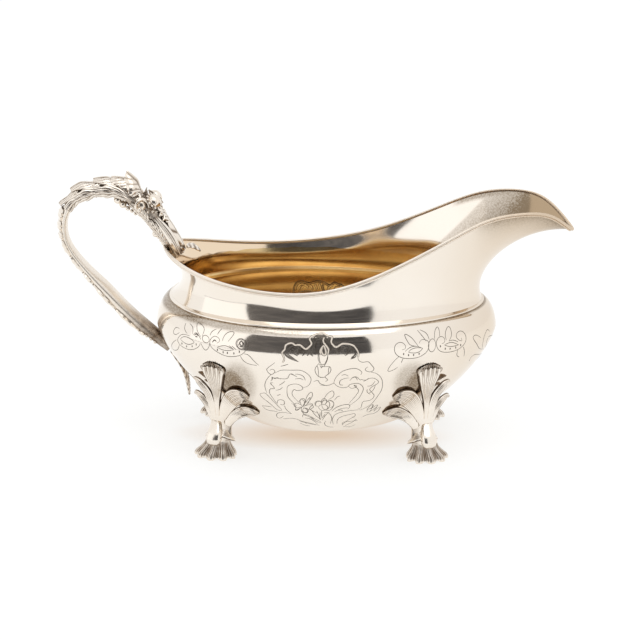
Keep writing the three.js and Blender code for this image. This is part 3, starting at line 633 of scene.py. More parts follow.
class Leg:
    """Place and directions of one leg, at an end (1 spout, -1 handle) and a side (-1 near, 1 far)."""

    def __init__(self, end, side):
        self.place = np.array([end * FOOT_ALONG + FOOT_SHIFT, side * FOOT_ACROSS])
        self.ahead = np.array([end * np.cos(FOOT_HEADING), side * np.sin(FOOT_HEADING)])
        self.across = np.array([end * np.sin(FOOT_HEADING), -side * np.cos(FOOT_HEADING)])
        self.top = self.bowl_reach(np.zeros(1), np.full(1, LEAF_TOP))[0] + SOLDER_GAP

    def point(self, ahead, across, height):
        """Point from distances ahead of the foot, across the leg and above the table."""
        ahead, across, height = np.broadcast_arrays(ahead, across, height)
        plan = self.place + ahead[..., None] * self.ahead + across[..., None] * self.across
        return np.concatenate([plan, height[..., None]], axis=-1)

    def bowl_reach(self, across, height):
        """How far ahead of the foot the bowl's surface lies, found by halving the range."""
        share = bilge_share(height)
        half_length, half_width = (
            blended(floor, belly, share) for floor, belly in zip(FLOOR_HALF, BELLY_HALF)
        )
        low = np.full(np.shape(across), -FOOT_ALONG)
        high = np.full(np.shape(across), BELLY_HALF[1])
        for _ in range(22):
            middle = (low + high) / 2
            plan = self.point(middle, across, height)
            c = plan[..., 0] / half_length
            inside = c * c + (plan[..., 1] / (half_width * (1 - OVAL_EGG * c))) ** 2 < 1
            low, high = np.where(inside, middle, low), np.where(inside, high, middle)
        return low

    def line(self, height):
        """Middle line: upright over the foot, then top t^1.45 ahead, up to the leaf's top."""
        t = np.clip((height - ANKLE_HEIGHT) / (LEAF_TOP - ANKLE_HEIGHT), 0, 1)
        return self.top * t**1.45

    def face(self, across, height, lift):
        """Point on the leg's curved face: line - curl across^2, or on the bowl where that is ahead."""
        across, height, lift = np.broadcast_arrays(across, height, lift)
        free = self.line(height) - np.where(across > 0, OUTER_CURL, INNER_CURL) * across**2
        on_bowl = self.bowl_reach(across, height) + SOLDER_GAP
        return self.point(np.maximum(free, on_bowl) + lift, across, height)


LOBE_ROWS, LOBE_COLUMNS = 72, 45


def leaf_lobe(shell, leg, spine, half, lift, thickness, lines, scallops=0, root=1.3, shade=0.0):
    """One lobe of a leg's leaf as a thin closed skin along a spine of (across, height) places.

    Across it the height off the leg's face is lift + thickness (1 - 0.5 s^2) with a raised border,
    fine lines that fan out from the root and scallops that notch the tip. At the root it is raised
    to meet the stem, towards the tip it sinks on to the bowl.
    """
    t = np.linspace(0, 1, LOBE_ROWS)[:, None]
    s = np.linspace(-1, 1, LOBE_COLUMNS)[None, :]
    u = t * (len(spine) - 1)
    across_leg, above_table = zip(*spine)
    middle = np.stack([open_spline(across_leg, u), open_spline(above_table, u)], axis=-1)
    beyond = [open_spline(across_leg, u + STEP), open_spline(above_table, u + STEP)]
    ahead = np.stack(beyond, axis=-1) - middle
    side = unit(np.stack([-ahead[..., 1], ahead[..., 0]], axis=-1))
    width = open_spline(half, u)
    reach = unit(ahead) * (scallops > 0) * eased((t[..., None] - 0.86) / 0.14)
    notch = np.abs(np.sin(np.pi * scallops * (s + 1) / 2))[..., None] if scallops else 0
    plan = middle + side * (width * s)[..., None] + reach * (1.5 * notch - 1.9 * s[..., None] ** 2)
    border = bell(np.abs(s) - 0.86, 0.1) * eased(t / 0.3)
    fan = np.cos(2 * np.pi * lines * s)
    chasing = 0.11 * fan * eased((t - 0.15) / 0.3) * (np.abs(s) < 0.8)
    swell = 1 - 0.5 * s**2 - 0.45 * eased((t - 0.8) / 0.2)
    ground = lift * (1 - 0.7 * eased((t - 0.35) / 0.6)) + root * (1 - eased(t / 0.42))
    top = ground + thickness * swell + 0.22 * border + chasing
    under = np.full_like(top, -0.05)
    # Marks: oxide in the chased lines and in the notches at the tip; painted shade over the whole lobe
    # by shade, as a dark rim round its edge and on its underside.
    deep = np.clip(-fan, 0, 1) * (np.abs(s) < 0.8) * 0.75 * eased((t - 0.12) / 0.3)
    mark = np.maximum(deep + shade, 0.9 * (np.abs(s) > 0.93))
    if scallops:
        holes = (1 - notch[..., 0]) ** 3 * eased((t - 0.7) / 0.22)
        mark = np.maximum(mark, holes)
        top = top - 0.5 * holes
    upper = leg.face(plan[..., 0], plan[..., 1], top)
    lower = leg.face(plan[..., 0], plan[..., 1], under)
    points = np.concatenate([upper, lower[:, ::-1]], axis=1)
    marks = np.concatenate([mark, np.ones_like(mark)], axis=1)
    shell.add(points, marks)


STEM_HEIGHT = [7.5, 9.2, 11.4, 14, 17.6, 21.4, 27]
STEM_OUTER = [5, 5, 4.1, 3.3, 3.0, 2.2, 0.8]
STEM_INNER = [5.6, 5.8, 5.6, 5.8, 6, 4, 0.8]
STEM_DEPTH = [4.4, 4.4, 3.4, 2.8, 2.5, 1.6, 0.5]
STEM_AHEAD = [0.6, 0.5, 0.2, 0, 0.3, 0.2, 0.0]


def leg_stem(shell, leg):
    """Stem: stacked ovals with a hollow web down its inner side, the web darkened as painted shade."""
    u = np.linspace(0, len(STEM_HEIGHT) - 1, 60)[:, None]
    outer, inner, depth, ahead = (
        open_spline(values, u) for values in (STEM_OUTER, STEM_INNER, STEM_DEPTH, STEM_AHEAD)
    )
    height = np.interp(u, np.arange(len(STEM_HEIGHT)), STEM_HEIGHT)
    turn = full_turn(72)
    across = np.where(np.sin(turn) > 0, outer, inner) * np.sin(turn)
    web = bell(turn - np.radians(302), 0.42) * eased((20 - height) / 6)
    forward = depth * np.cos(turn) * (1 - 0.5 * web) - 0.9 * web
    points = leg.point(leg.line(height) + ahead + forward, across, height)
    shell.add(points, 0.5 * web)


def leg_collar(shell, leg):
    """Hollow skirt under the stem: its thin rim is low on the inner side and rises to the tongue."""
    turn = full_turn(96)
    inner = np.clip(-np.sin(turn), 0, 1)
    rise = 2.8 * np.clip(np.cos(turn), 0, 1) + 0.6 * np.clip(np.sin(turn), 0, 1)
    # Darker just under the stem and on the underside: painted shade.
    share, up, mark = as_columns([
        (0.62, 3.6, 0.2), (0.8, 1.5, 0.45), (0.98, 0.3, 0.3), (1.04, -0.1, 0.0), (1.06, -0.4, 0.0),
        (1.02, -0.6, 0.5), (0.7, -0.5, 1.0),
    ])
    across = share * np.sin(turn) * (5.2 + 2.0 * inner)
    forward = 0.4 + share * np.cos(turn) * 4.4
    height = 7.8 + rise * np.clip(share, 0, 1) + up
    shell.add(leg.point(forward, across, height), mark)


def leg_tongue(shell, leg):
    """Polished tongue in front of the stem: a square face on top, a rounded toe below."""
    height, half, depth, ahead = as_columns([
        (16.6, 1.9, 1.2, 2.6), (16.2, 2.1, 1.8, 3.2), (12.9, 2.5, 2.3, 5.0), (12.3, 2.8, 2.6, 5.4),
        (9.6, 3.0, 3.0, 6.7), (8.0, 2.8, 2.9, 6.8), (6.6, 2.0, 2.2, 6.4), (5.8, 0.9, 1.2, 5.8),
    ])
    turn = full_turn(40)
    squareness = 0.55
    across = half * np.sign(np.sin(turn)) * np.abs(np.sin(turn)) ** squareness
    forward = ahead - 2.0 + depth * np.sign(np.cos(turn)) * np.abs(np.cos(turn)) ** squareness
    shell.add(leg.point(forward, across, height))


# The leaf's lobes, from the middle outwards: spine, half widths along it, lift, thickness and lines
FRILL = ([(-1.2, 30), (-1.3, 35.5), (-1.2, 40), (-1.0, 42.4)], [0.4, 2.6, 5.6, 4.6], 0.0, 0.6, 8)
CENTRE = (
    [(-0.8, 18.5), (-0.8, 25), (-1.1, 31.5), (-1.2, 37), (-1.2, 40.6)],
    [0.9, 1.2, 2.5, 4.4, 5.2], 0.5, 1.5, 5,
)
SIDE_LOBES = [
    ([(0.6, 17.5), (1.9, 24), (3.9, 29.2), (7.0, 32.6), (9.6, 33.2)],
     [1.6, 1.7, 2.0, 1.8, 0.5], 0.4, 1.3, 3),
    ([(1.4, 16.5), (3.2, 20.5), (5.6, 24), (8.6, 26), (10.6, 25.2)],
     [1.6, 1.8, 1.9, 1.5, 0.4], 0.2, 1.2, 3),
    ([(-4.4, 14.5), (-6.8, 18.0), (-10.2, 20.2), (-13.2, 21.0), (-15.8, 21.2), (-17.8, 20.9)],
     [1.5, 2.1, 2.5, 2.7, 2.0, 0.5], 0.2, 1.3, 5),
    ([(-2.6, 17.5), (-4.4, 22.0), (-6.8, 26.0), (-9.6, 28.6), (-12.4, 29.6), (-15.2, 28.8)],
     [1.6, 2.7, 3.6, 3.8, 2.9, 0.8], 0.5, 1.5, 6),
]


def make_leg(end, side, name):
    """One leg: stem, skirt, tongue and the lobes of its leaf."""
    leg = Leg(end, side)
    shell = Shell()
    leg_stem(shell, leg)
    leg_collar(shell, leg)
    leg_tongue(shell, leg)
    # The frill behind the middle lobe is darkened all over: painted shade.
    leaf_lobe(shell, leg, *FRILL, scallops=11, root=0, shade=0.45)
    leaf_lobe(shell, leg, *CENTRE, scallops=5)
    for lobe in SIDE_LOBES:
        leaf_lobe(shell, leg, *lobe)
    shell.finish("leg_cast_" + name, chased, ["leg_" + name], sharp=50)


SHELL_SEAT, SHELL_HALF_WIDTH, SHELL_HALF_DEPTH, SHELL_OUTSET = 7.5, 8.9, 7.2, 1.2
FLUTES, GROOVES_A_FLUTE, FLUTE_COLUMNS = 9, 6, 48


def make_foot_shell(end, side, name):
    """Fluted shell: nine lobes, fine grooves between, a light lip and small arches at the table."""
    turn = full_turn(FLUTES * FLUTE_COLUMNS)
    level, spread = as_columns([
        (0.0, 0.985), (0.03, 1.0), (0.10, 1.0), (0.2, 0.975), (0.3, 0.93), (0.42, 0.83), (0.56, 0.73),
        (0.7, 0.64), (0.84, 0.59), (0.97, 0.565), (1.0, 0.55),
    ])
    between = 0.5 - 0.5 * np.cos(FLUTES * turn)
    groove = 0.5 - 0.5 * np.cos(FLUTES * GROOVES_A_FLUTE * turn)
    flute = 1 - 0.17 * between * eased((1.05 - level) / 0.5)
    body = eased((level - 0.05) / 0.12) * eased((1.02 - level) / 0.1)
    radius = spread * (flute - 0.028 * groove * body)
    arch = 0.85 * between**3 * (np.cos(turn) > -0.2)
    height = SHELL_SEAT * level + arch * eased((0.16 - level) / 0.16)
    ahead = SHELL_HALF_DEPTH * radius * np.cos(turn)
    across = SHELL_HALF_WIDTH * radius * np.sin(turn) + SHELL_OUTSET * (1 - (1 - spread) * 2)
    mark = body * np.clip(0.12 + 0.7 * groove + 0.4 * between, 0, 1) * eased((level + 0.25) / 0.5)
    shell = Shell()
    shell.add(Leg(end, side).point(ahead, across, height), mark)
    shell.finish("shell_foot_" + name, chased, ["foot_shell_" + name], sharp=60)


# Handle. A point is given by its place along the strap (station numbers), its turn round it in
# degrees (0 away from the loop, 90 to the near side) and its distance from the strap's surface.
HANDLE_SEAT = (NECK_EDGE_X[-1], NECK_EDGE_Z[-1])
HEEL_HEIGHT = 40.5
HANDLE_HEEL = (-bowl_half(HEEL_HEIGHT)[0], HEEL_HEIGHT)
HANDLE_SHARE = [0, 0, 0, 0, 0, 0, 0, 0, 0.5, 0.5, 0.5, 1, 1, 1]
HANDLE_OUT = [-5, -1.4, 4, 10.6, 18, 26.5, 35, 40.4, 40.7, 36.6, 29, 19.8, 9.6, -1.5]
HANDLE_UP = [-2.8, 4.4, 11.8, 18.4, 23.4, 24, 21, 13.6, 24, 15.6, 6.4, 16.2, 6.2, -2.6]
HANDLE_THICK = [2.8, 2.8, 3.3, 3.3, 2.7, 2.4, 2.2, 1.7, 1.4, 1.6, 2, 2.6, 2.5, 2.4]
HANDLE_WIDE = [3.6, 4.4, 4.8, 4.8, 4.5, 4.3, 4.1, 3.9, 3.8, 4.1, 4.5, 4.7, 4.4, 4]
STRAP_SHARE = np.array(HANDLE_SHARE, float)
STRAP_X = blended(HANDLE_SEAT[0], HANDLE_HEEL[0], STRAP_SHARE) - np.array(HANDLE_OUT)
STRAP_Z = blended(HANDLE_SEAT[1], HANDLE_HEEL[1], STRAP_SHARE) + np.array(HANDLE_UP)
BULGES = ((10.35, 0.5, 0.55), (12.15, 0.45, 0.5))
LEAF_ROWS, LEAF_COLUMNS = 90, 33
TUBE_SIDES = 14


def strap_point(place, turn, distance, smooth=False):
    """Point off the strap; its section is an oval, half its thickness by half its width."""
    place, turn, distance = np.broadcast_arrays(place, turn, distance)
    x, z = open_spline(STRAP_X, place), open_spline(STRAP_Z, place)
    run = open_spline(STRAP_X, place + STEP) - x
    climb = open_spline(STRAP_Z, place + STEP) - z
    length = np.hypot(run, climb)
    run, climb = run / length, climb / length
    thick, wide = open_spline(HANDLE_THICK, place), open_spline(HANDLE_WIDE, place)
    c, s = np.cos(np.radians(turn)), np.sin(np.radians(turn))
    if smooth:
        for middle, height, spread in BULGES:
            thick = thick + height * bell(place - middle, spread) * (c < 0) * c * c
    normal = unit(np.stack([c / thick, s / wide], axis=-1))
    away = thick * c + distance * normal[..., 0]
    aside = wide * s + distance * normal[..., 1]
    return np.stack([x + climb * away, -aside, z - run * away], axis=-1)


def make_strap():
    """The cast strap, darkened under the leaves of its upper half as painted shade, and darker at its
    heel.
    """
    place = np.linspace(0, len(STRAP_X) - 1, 260)[:, None]
    turn = np.degrees(full_turn(48))
    # Painted shade under the leaves of the upper half.
    upper = 0.5 * eased((6.6 - place) / 0.8) * (0.5 + 0.5 * eased((place - 0.6) / 0.6))
    # Checkered darkening on the back near the root: facets shown as painted shade.
    facets = 0.3 * np.sign(np.sin(11 * place) * np.sin(np.radians(9 * turn))) * (place < 1.1)
    facets = facets * (np.cos(np.radians(turn)) < -0.25)
    heel = 0.62 * eased((place - 10.9) / 1.6)
    worn = 0.13 * eased((place - 6.6) / 0.8)
    shell = Shell()
    shell.add(strap_point(place, turn, 0.0, smooth=True), upper + facets + heel + worn)
    shell.finish("handle_strap", strap_silver, ["handle_loop"])


def strap_leaf(shell, places, middle, spread, lift, thickness, pairs, sweep, teeth, rib=0.3, droop=0.0):
    """Leaf on the strap: a rib along its middle, swelling lobes in pairs swept to the tip, toothed edge.

    The lobes follow the phase pairs (t - sweep |s|); between them lie dark chased valleys. The dark rim
    round the edge and the darker underside are painted shade.
    """
    t = np.linspace(0, 1, LEAF_ROWS)[:, None]
    s = np.linspace(-1, 1, LEAF_COLUMNS)[None, :]
    lobe = np.abs(np.sin(np.pi * pairs * (t - sweep * np.abs(s))))
    edge = np.abs(np.sin(np.pi * pairs * (t - sweep)))
    turn = middle + spread(t) * (1 - teeth + teeth * edge**0.7) * s
    place = blended(places[0], places[1], t) + teeth * 0.25 * (edge - 0.5) * s**2
    relief = 0.42 * lobe**0.6 * np.clip(np.abs(s) * 2.4, 0, 1)
    stand = lift(t) * (1 - droop * np.abs(s) ** 1.4)
    top = stand + thickness(t) * (1 - 0.45 * s**2) * (0.55 + relief) + rib * bell(s, 0.11)
    upper = strap_point(place, turn, SOLDER_GAP + top)
    lower = strap_point(place, turn, SOLDER_GAP + stand)
    valley = np.clip(1 - 2.2 * lobe, 0, 1) * np.clip((np.abs(s) - 0.12) * 5, 0, 1)
    beside_rib = 0.8 * bell(np.abs(s) - 0.17, 0.06)
    mark = np.maximum(np.maximum(valley, beside_rib), 0.9 * (np.abs(s) > 0.97))
    shell.add(
        np.concatenate([upper, lower[:, ::-1]], axis=1),
        np.concatenate([mark + 0.12, np.full_like(mark, 0.5)], axis=1),
    )


def tube(shell, line, radius, mark=0.0):
    """Round bar along a line of points, its radius one number or one for each point."""
    along = unit(np.gradient(line, axis=0))
    across = unit(np.cross(along, [0.1, 1.0, 0.2]))
    other = np.cross(along, across)
    turn = full_turn(TUBE_SIDES)[..., None]
    ring = np.cos(turn) * across[:, None] + np.sin(turn) * other[:, None]
    shell.add(line[:, None] + ring * np.broadcast_to(radius, len(line))[:, None, None], mark)


def ball(shell, centre, radius, mark=0.0, squash=(1, 1, 1)):
    """Small rounded bead."""
    rise = np.linspace(-np.pi / 2, np.pi / 2, 16)[1:-1, None]
    turn = full_turn(24)
    shape = [np.cos(rise) * np.cos(turn), np.cos(rise) * np.sin(turn), np.sin(rise) + 0 * turn]
    shell.add(np.asarray(centre) + radius * np.stack(shape, axis=-1) * np.array(squash), mark)


def curl(shell, place, turn, reach, twist, radius, lean, distance):
    """C-shaped scroll on the strap: a tapering bar that winds inwards round a middle."""
    share = np.linspace(0, 1, 44)
    angle = np.radians(lean + twist * share)
    size = reach * (1 - 0.72 * share)
    along = place + size * np.cos(angle) / 9.0
    turned = turn + np.degrees(size * np.sin(angle) / 4.6)
    line = strap_point(along, turned, distance + 0.5 * share)
    taper = (1 - 0.45 * share) * np.sin(np.pi * np.clip(share + 0.04, 0, 1)) ** 0.25
    tube(shell, line, radius * taper, 0.05)
    ball(shell, line[-1], radius * 1.15)


def leaf_outline(widest):
    """Half spread of a leaf: widest (0.3 + 0.7 sin(pi (0.15 + 0.8 t)))."""
    return lambda t: widest * (0.3 + 0.7 * np.sin(np.pi * (0.15 + 0.8 * t)))


def steady(height):
    """The same height all along a leaf."""
    return lambda t: height + 0 * t


def tapered(height, share):
    """A height that falls along a leaf: height (1 - share t)."""
    return lambda t: height * (1 - share * t)


def make_arch_leaf(index, start, end, next_root):
    """One blade over the arch, its tip over the next one's root, with a small leaf on either side."""
    shell = Shell()

    def over(t):
        return 1.7 * eased((blended(start, end, t) - next_root + 0.5) / 0.48)

    def lapped(t):
        return 0.15 + 0.55 * over(t)

    def blade(t):
        return 1.14 - 0.72 * t

    strap_leaf(shell, (start, end), 0, leaf_outline(62), over, blade, 4, 0.9, 0.1, droop=0.5)
    for side in (-1, 1):
        beside = (start - 0.1, end - 0.05)
        outline, thin = leaf_outline(44), tapered(1.0, 0.45)
        strap_leaf(shell, beside, side * 92, outline, lapped, thin, 3, 0.8, 0.14, rib=0.45)
    name, node = f"arch_blade_{index}", f"handle_arch_leaf_{index}"
    shell.finish(name, chased, [node], sharp=55)


def make_crest_leaf():
    """Pointed leaf that stands off the top, ribbed on both sides, with two small leaves before it."""
    shell = Shell()
    start, end, clear_of_strap = 3.2, 4.05, 3.7

    def stand(t):
        return 5.0 * (0.55 * eased(t * (end - start) / (clear_of_strap - start)) + 0.45 * t**2)

    def low(t):
        return 2.6 * eased(t / 0.45) * (1 - 0.35 * t)

    def outline(t):
        return 20 + 58 * np.sin(np.pi * t**0.8)

    thin = tapered(1.2, 0.4)
    strap_leaf(shell, (start, end), 0, outline, stand, thin, 4, 0.7, 0.0, rib=0.5, droop=0.75)
    under, thin = leaf_outline(66), tapered(1.1, 0.4)
    strap_leaf(shell, (3.35, 4.5), 0, under, low, thin, 5, 0.7, 0.05, rib=0.4, droop=0.8)
    share = np.linspace(0, 1, 12)[:, None]
    radius = 0.55 * np.sin(np.pi * np.linspace(0.35, 0.98, 12))
    for place, height in ((3.05, 3.0), (2.95, 1.9)):
        base, tip = strap_point(place, 0, 0.2), strap_point(place + 0.16, 0, height + 0.9)
        tube(shell, base + (tip - base) * share, radius, 0.45)
    shell.finish("crest_leaf", chased, ["handle_crest_leaf"], sharp=55)


PETALS, CALYX_LEAVES, STAR_POINTS = 14, 8, 6


def make_rosette(side, name):
    """Flower head: leafy calyx, frill of petals and a dome chased with a star."""
    seat, above = strap_point(2.64, side * 30, 0.0), strap_point(2.64, side * 30, 1.0)
    axis = unit(above - seat)
    first = unit(np.cross(axis, [0.3, 0.2, 1.0]))
    second = np.cross(axis, first)
    turn = full_turn(120)
    ring = np.cos(turn)[..., None] * first + np.sin(turn)[..., None] * second

    def turned(profile, count=0):
        """Rings of given radius, height and ripple about the flower's axis."""
        radius, height, ripple = as_columns(profile)
        radius = radius * (1 + ripple * np.cos(count * turn))
        return seat + radius[..., None] * ring + (height + 0 * turn)[..., None] * axis

    calyx = [
        (1.2, -0.6, 0), (1.5, 0.6, 0), (2.0, 1.5, 0.05), (2.9, 2.2, 0.12), (3.3, 2.6, 0.14),
        (3.2, 2.8, 0.14), (2.2, 2.6, 0.05), (0.4, 2.5, 0),
    ]
    frill = [
        (1.4, 1.9, 0), (2.6, 2.2, 0.03), (3.7, 2.6, 0.08), (3.85, 2.85, 0.09), (3.5, 3.1, 0.08),
        (2.6, 2.9, 0.03), (0.4, 2.8, 0),
    ]
    rise = np.linspace(-0.2, 1.0, 34)[:-1, None]
    dome = np.concatenate([2.95 * np.sqrt(1 - rise**2), 2.85 + 2.3 * rise, 0 * rise], axis=1)
    star = np.clip(1 - np.abs(np.sin(STAR_POINTS / 2 * turn)) * 6, 0, 1) * (rise > 0.1)
    shell = Shell()
    # The calyx under the frill is darkened all over and the frill between its petals: painted shade. The
    # dome is dark along its chased star.
    shell.add(turned(calyx, CALYX_LEAVES), 0.75)
    shell.add(turned(frill, PETALS), 0.15 + 0.7 * (0.5 - 0.5 * np.cos(PETALS * turn)))
    shell.add(turned(dome) - 0.09 * star[..., None] * axis, 0.7 * star)
    shell.finish("flower_" + name, chased, ["rosette_" + name], sharp=55)


def make_pearls():
    """Pearls under the upper limb: large ones under the crest, small square-set beads at the root."""
    shell = Shell()
    crest = ((4.0, 1.65, 1.2), (3.58, 1.55, 1.6), (3.25, 1.0, 1.5), (3.02, 0.8, 1.2), (2.82, 0.75, 1.0))
    for place, radius, off in crest:
        ball(shell, strap_point(place, 165, off), radius)
        # A dark bar at the foot of each large pearl: painted shade.
        tube(shell, strap_point(np.linspace(place - 0.16, place + 0.16, 5), 150, 0.2), 0.3, 0.8)
    for place in np.arange(4.3, 5.3, 0.15):
        ball(shell, strap_point(place, 152, 0.25), 0.6, 0.25, (1, 1.5, 1))
    for place in np.arange(0.5, 1.5, 0.2):
        ball(shell, strap_point(place, 158, 0.75), 0.85, 0.1, (1.0, 1.3, 1.0))
        # A dark small bead set low between the square-set beads: painted shade.
        ball(shell, strap_point(place + 0.11, 160, 0.35), 0.6, 0.85)
    ball(shell, strap_point(1.5, 160, 0.9), 1.4)
    shell.finish("pearl_row", chased, ["handle_pearls"])


def make_side_leaf(side, name):
    """Acanthus on the side of the upper limb: a toothed fan, a smooth inner leaf and curled scrolls."""
    shell = Shell()

    def thin(t):
        return 1.3 * (0.75 + 0.25 * np.sin(np.pi * t)) * (1 - 0.35 * t)

    strap_leaf(shell, (0.85, 2.5), side * 124, leaf_outline(38), steady(0.1), thin, 7, 0.42, 0.24)
    strap_leaf(shell, (0.05, 2.15), side * 72, leaf_outline(24), steady(0.35), thin, 1, 0.1, 0.0)
    strap_leaf(shell, (2.3, 3.35), side * 112, leaf_outline(30), steady(0.1), thin, 5, 0.3, 0.16)
    curl(shell, 2.95, side * 84, 3.3, side * 270, 0.8, lean=-150, distance=1.7)
    ball(shell, strap_point(2.95, side * 84, 0.4), 2.2, 0.2, (1, 0.5, 1))
    curl(shell, 3.3, side * 64, 2.4, side * -230, 0.65, lean=20, distance=1.2)
    curl(shell, 2.05, side * 48, 1.9, side * 240, 0.5, lean=160, distance=1.3)
    beads = ((2.42, 62, 0.62), (2.3, 50, 0.55), (3.05, 84, 0.6), (3.5, 60, 0.5), (2.55, 80, 0.5))
    for place, turn, radius in beads:
        ball(shell, strap_point(place, side * turn, 1.2), radius)
    shell.finish("acanthus_" + name, chased, ["handle_side_leaf_" + name], sharp=55)


def make_root_leaf():
    """Leaf over the handle's root, lobed at its upper end."""
    shell = Shell()

    def thick(t):
        return 1.15 * (0.6 + 0.4 * np.sin(np.pi * t))

    strap_leaf(shell, (0.1, 1.75), 0, leaf_outline(64), steady(0), thick, 2, 0.25, 0.05)
    strap_leaf(shell, (1.5, 2.35), 0, leaf_outline(48), lambda t: 0.35 * t, thick, 4, 0.3, 0.2)
    shell.finish("root_leaf", chased, ["handle_root_leaf"], sharp=55)


def make_lower_band():
    """Long petals outside the lower limb, parted by dark notches, with beads by the heel."""
    cuts = np.array([6.8, 7.3, 7.75, 8.1, 8.85, 9.6, 10.1, 11.1, 12.0, 12.2])
    place = np.linspace(cuts[0], cuts[-1], 420)[:, None]
    index = np.clip(np.searchsorted(cuts, place, side="right") - 1, 0, len(cuts) - 2)
    along_petal = (place - cuts[index]) / (cuts[index + 1] - cuts[index])
    swell = np.sin(np.pi * np.clip(along_petal, 0, 1)) ** 0.45
    s = np.linspace(-1, 1, 25)[None, :]
    wave = 0.12 * np.cos(6 * np.pi * along_petal) * swell
    turn = (44 + 16 * swell + 12 * wave) * s
    height = 0.4 + 0.85 * swell * (1 - 0.4 * s**2) + wave + 0.15 * bell(s, 0.14)
    upper, lower = strap_point(place, turn, height), strap_point(place, turn, -0.12)
    mark = np.clip(1.0 - 2.2 * swell, 0, 1) + 0.2 * bell(np.abs(s) - 0.8, 0.08)
    shell = Shell()
    shell.add(
        np.concatenate([upper, lower[:, ::-1]], axis=1),
        np.concatenate([mark, np.full_like(mark, 0.25)], axis=1),
    )
    for place in (12.25, 12.4, 12.55):
        for turn in (-52, 52):
            ball(shell, strap_point(place, turn, 0.3), 0.7)
    shell.finish("petal_band", chased, ["handle_lower_band"], sharp=60)


def plane_leaf(name, node, stations, veins):
    """Leaf carried along a line in the mid plane; stations are x, z, half width, half thickness."""
    u = np.linspace(0, len(stations) - 1, 60)
    x, z, wide, thick = (open_spline(values, u) for values in zip(*stations))
    along = unit(np.stack([np.gradient(x), np.gradient(z)], axis=-1))
    turn = full_turn(40)
    aside = np.abs(np.sin(turn))
    share = u[:, None] / u[-1]
    tooth = 1 + 0.16 * np.abs(np.sin(np.pi * veins * share)) * aside
    vein = 0.5 + 0.5 * np.cos(2 * np.pi * veins * (share - 0.2 * aside))
    off = np.maximum(thick, 0.05)[:, None] * np.cos(turn) * (1 + 0.35 * vein)
    points = np.stack([
        x[:, None] + along[:, 1:] * off,
        np.maximum(wide, 0.05)[:, None] * np.sin(turn) * tooth,
        z[:, None] - along[:, :1] * off,
    ], axis=-1)
    shell = Shell()
    shell.add(points, 0.1 + 0.7 * (1 - vein) * (aside > 0.15))
    shell.finish(name, chased, [node], sharp=55)


def make_tail_leaf():
    """Leaf below the heel: it follows the end of the bowl, then curls away to a point."""
    drops = [
        (4.5, 1, 2.64, 0.56), (9.5, 1.3, 4.048, 0.64), (14, 3.3, 4.048, 0.72), (19, 7.5, 2.992, 0.64),
        (23.6, 13, 0.792, 0.32),
    ]
    plane_leaf("tail_leaf", "handle_tail_leaf", [
        (-bowl_half(HEEL_HEIGHT - drop)[0] - off, HEEL_HEIGHT - drop, wide, thick)
        for drop, off, wide, thick in drops
    ], 7)


def make_tongue_leaf():
    """Small leaf from the handle's root into the bowl."""
    x, _, z = strap_point(0.3, 0.0, SOLDER_GAP + 0.7)
    plane_leaf("tongue_leaf", "handle_tongue_leaf", [
        (x + 1, z - 0.4, 2.2, 0.5), (x + 3.4, z - 0.3, 2.8, 0.55), (x + 6.5, z - 2.4, 0.8, 0.35),
    ], 3)


# Engraving on either side of the bowl: places along it and above the table.
CARTOUCHE_BORDER = [
    [(-16.8, 47.6), (-16.2, 49.6), (-17, 51.8), (-16, 53.1), (-15.5, 54.8), (-13.2, 55.6), (-11.8, 54.9),
     (-10, 55), (-8, 53.6), (-6.5, 54.3), (-5.5, 55.7), (-6.2, 57.2), (-5, 58.4), (-2.5, 59.2),
     (-0.2, 59.3)],
    [(-2.2, 59.4), (-0.8, 59.2), (1, 58.4), (2.5, 57.9), (2.2, 56.4), (3, 55.1), (4.2, 54.3),
     (5.8, 55.1), (7, 55.5), (9.2, 55.3), (11.2, 54.5), (12.2, 53.2), (13, 51.5), (12.8, 49.8)],
    [(-0.5, 57.9), (-0.8, 56.3), (0.8, 54.2), (1.2, 52.9), (1, 51.4)],
    [(-1, 54.8), (-2, 53), (-1.8, 51.6)],
    [(-0.8, 55), (-1.5, 53.2), (-0.8, 51.4), (0.2, 51.9), (-0.2, 54), (-0.8, 55)],
]
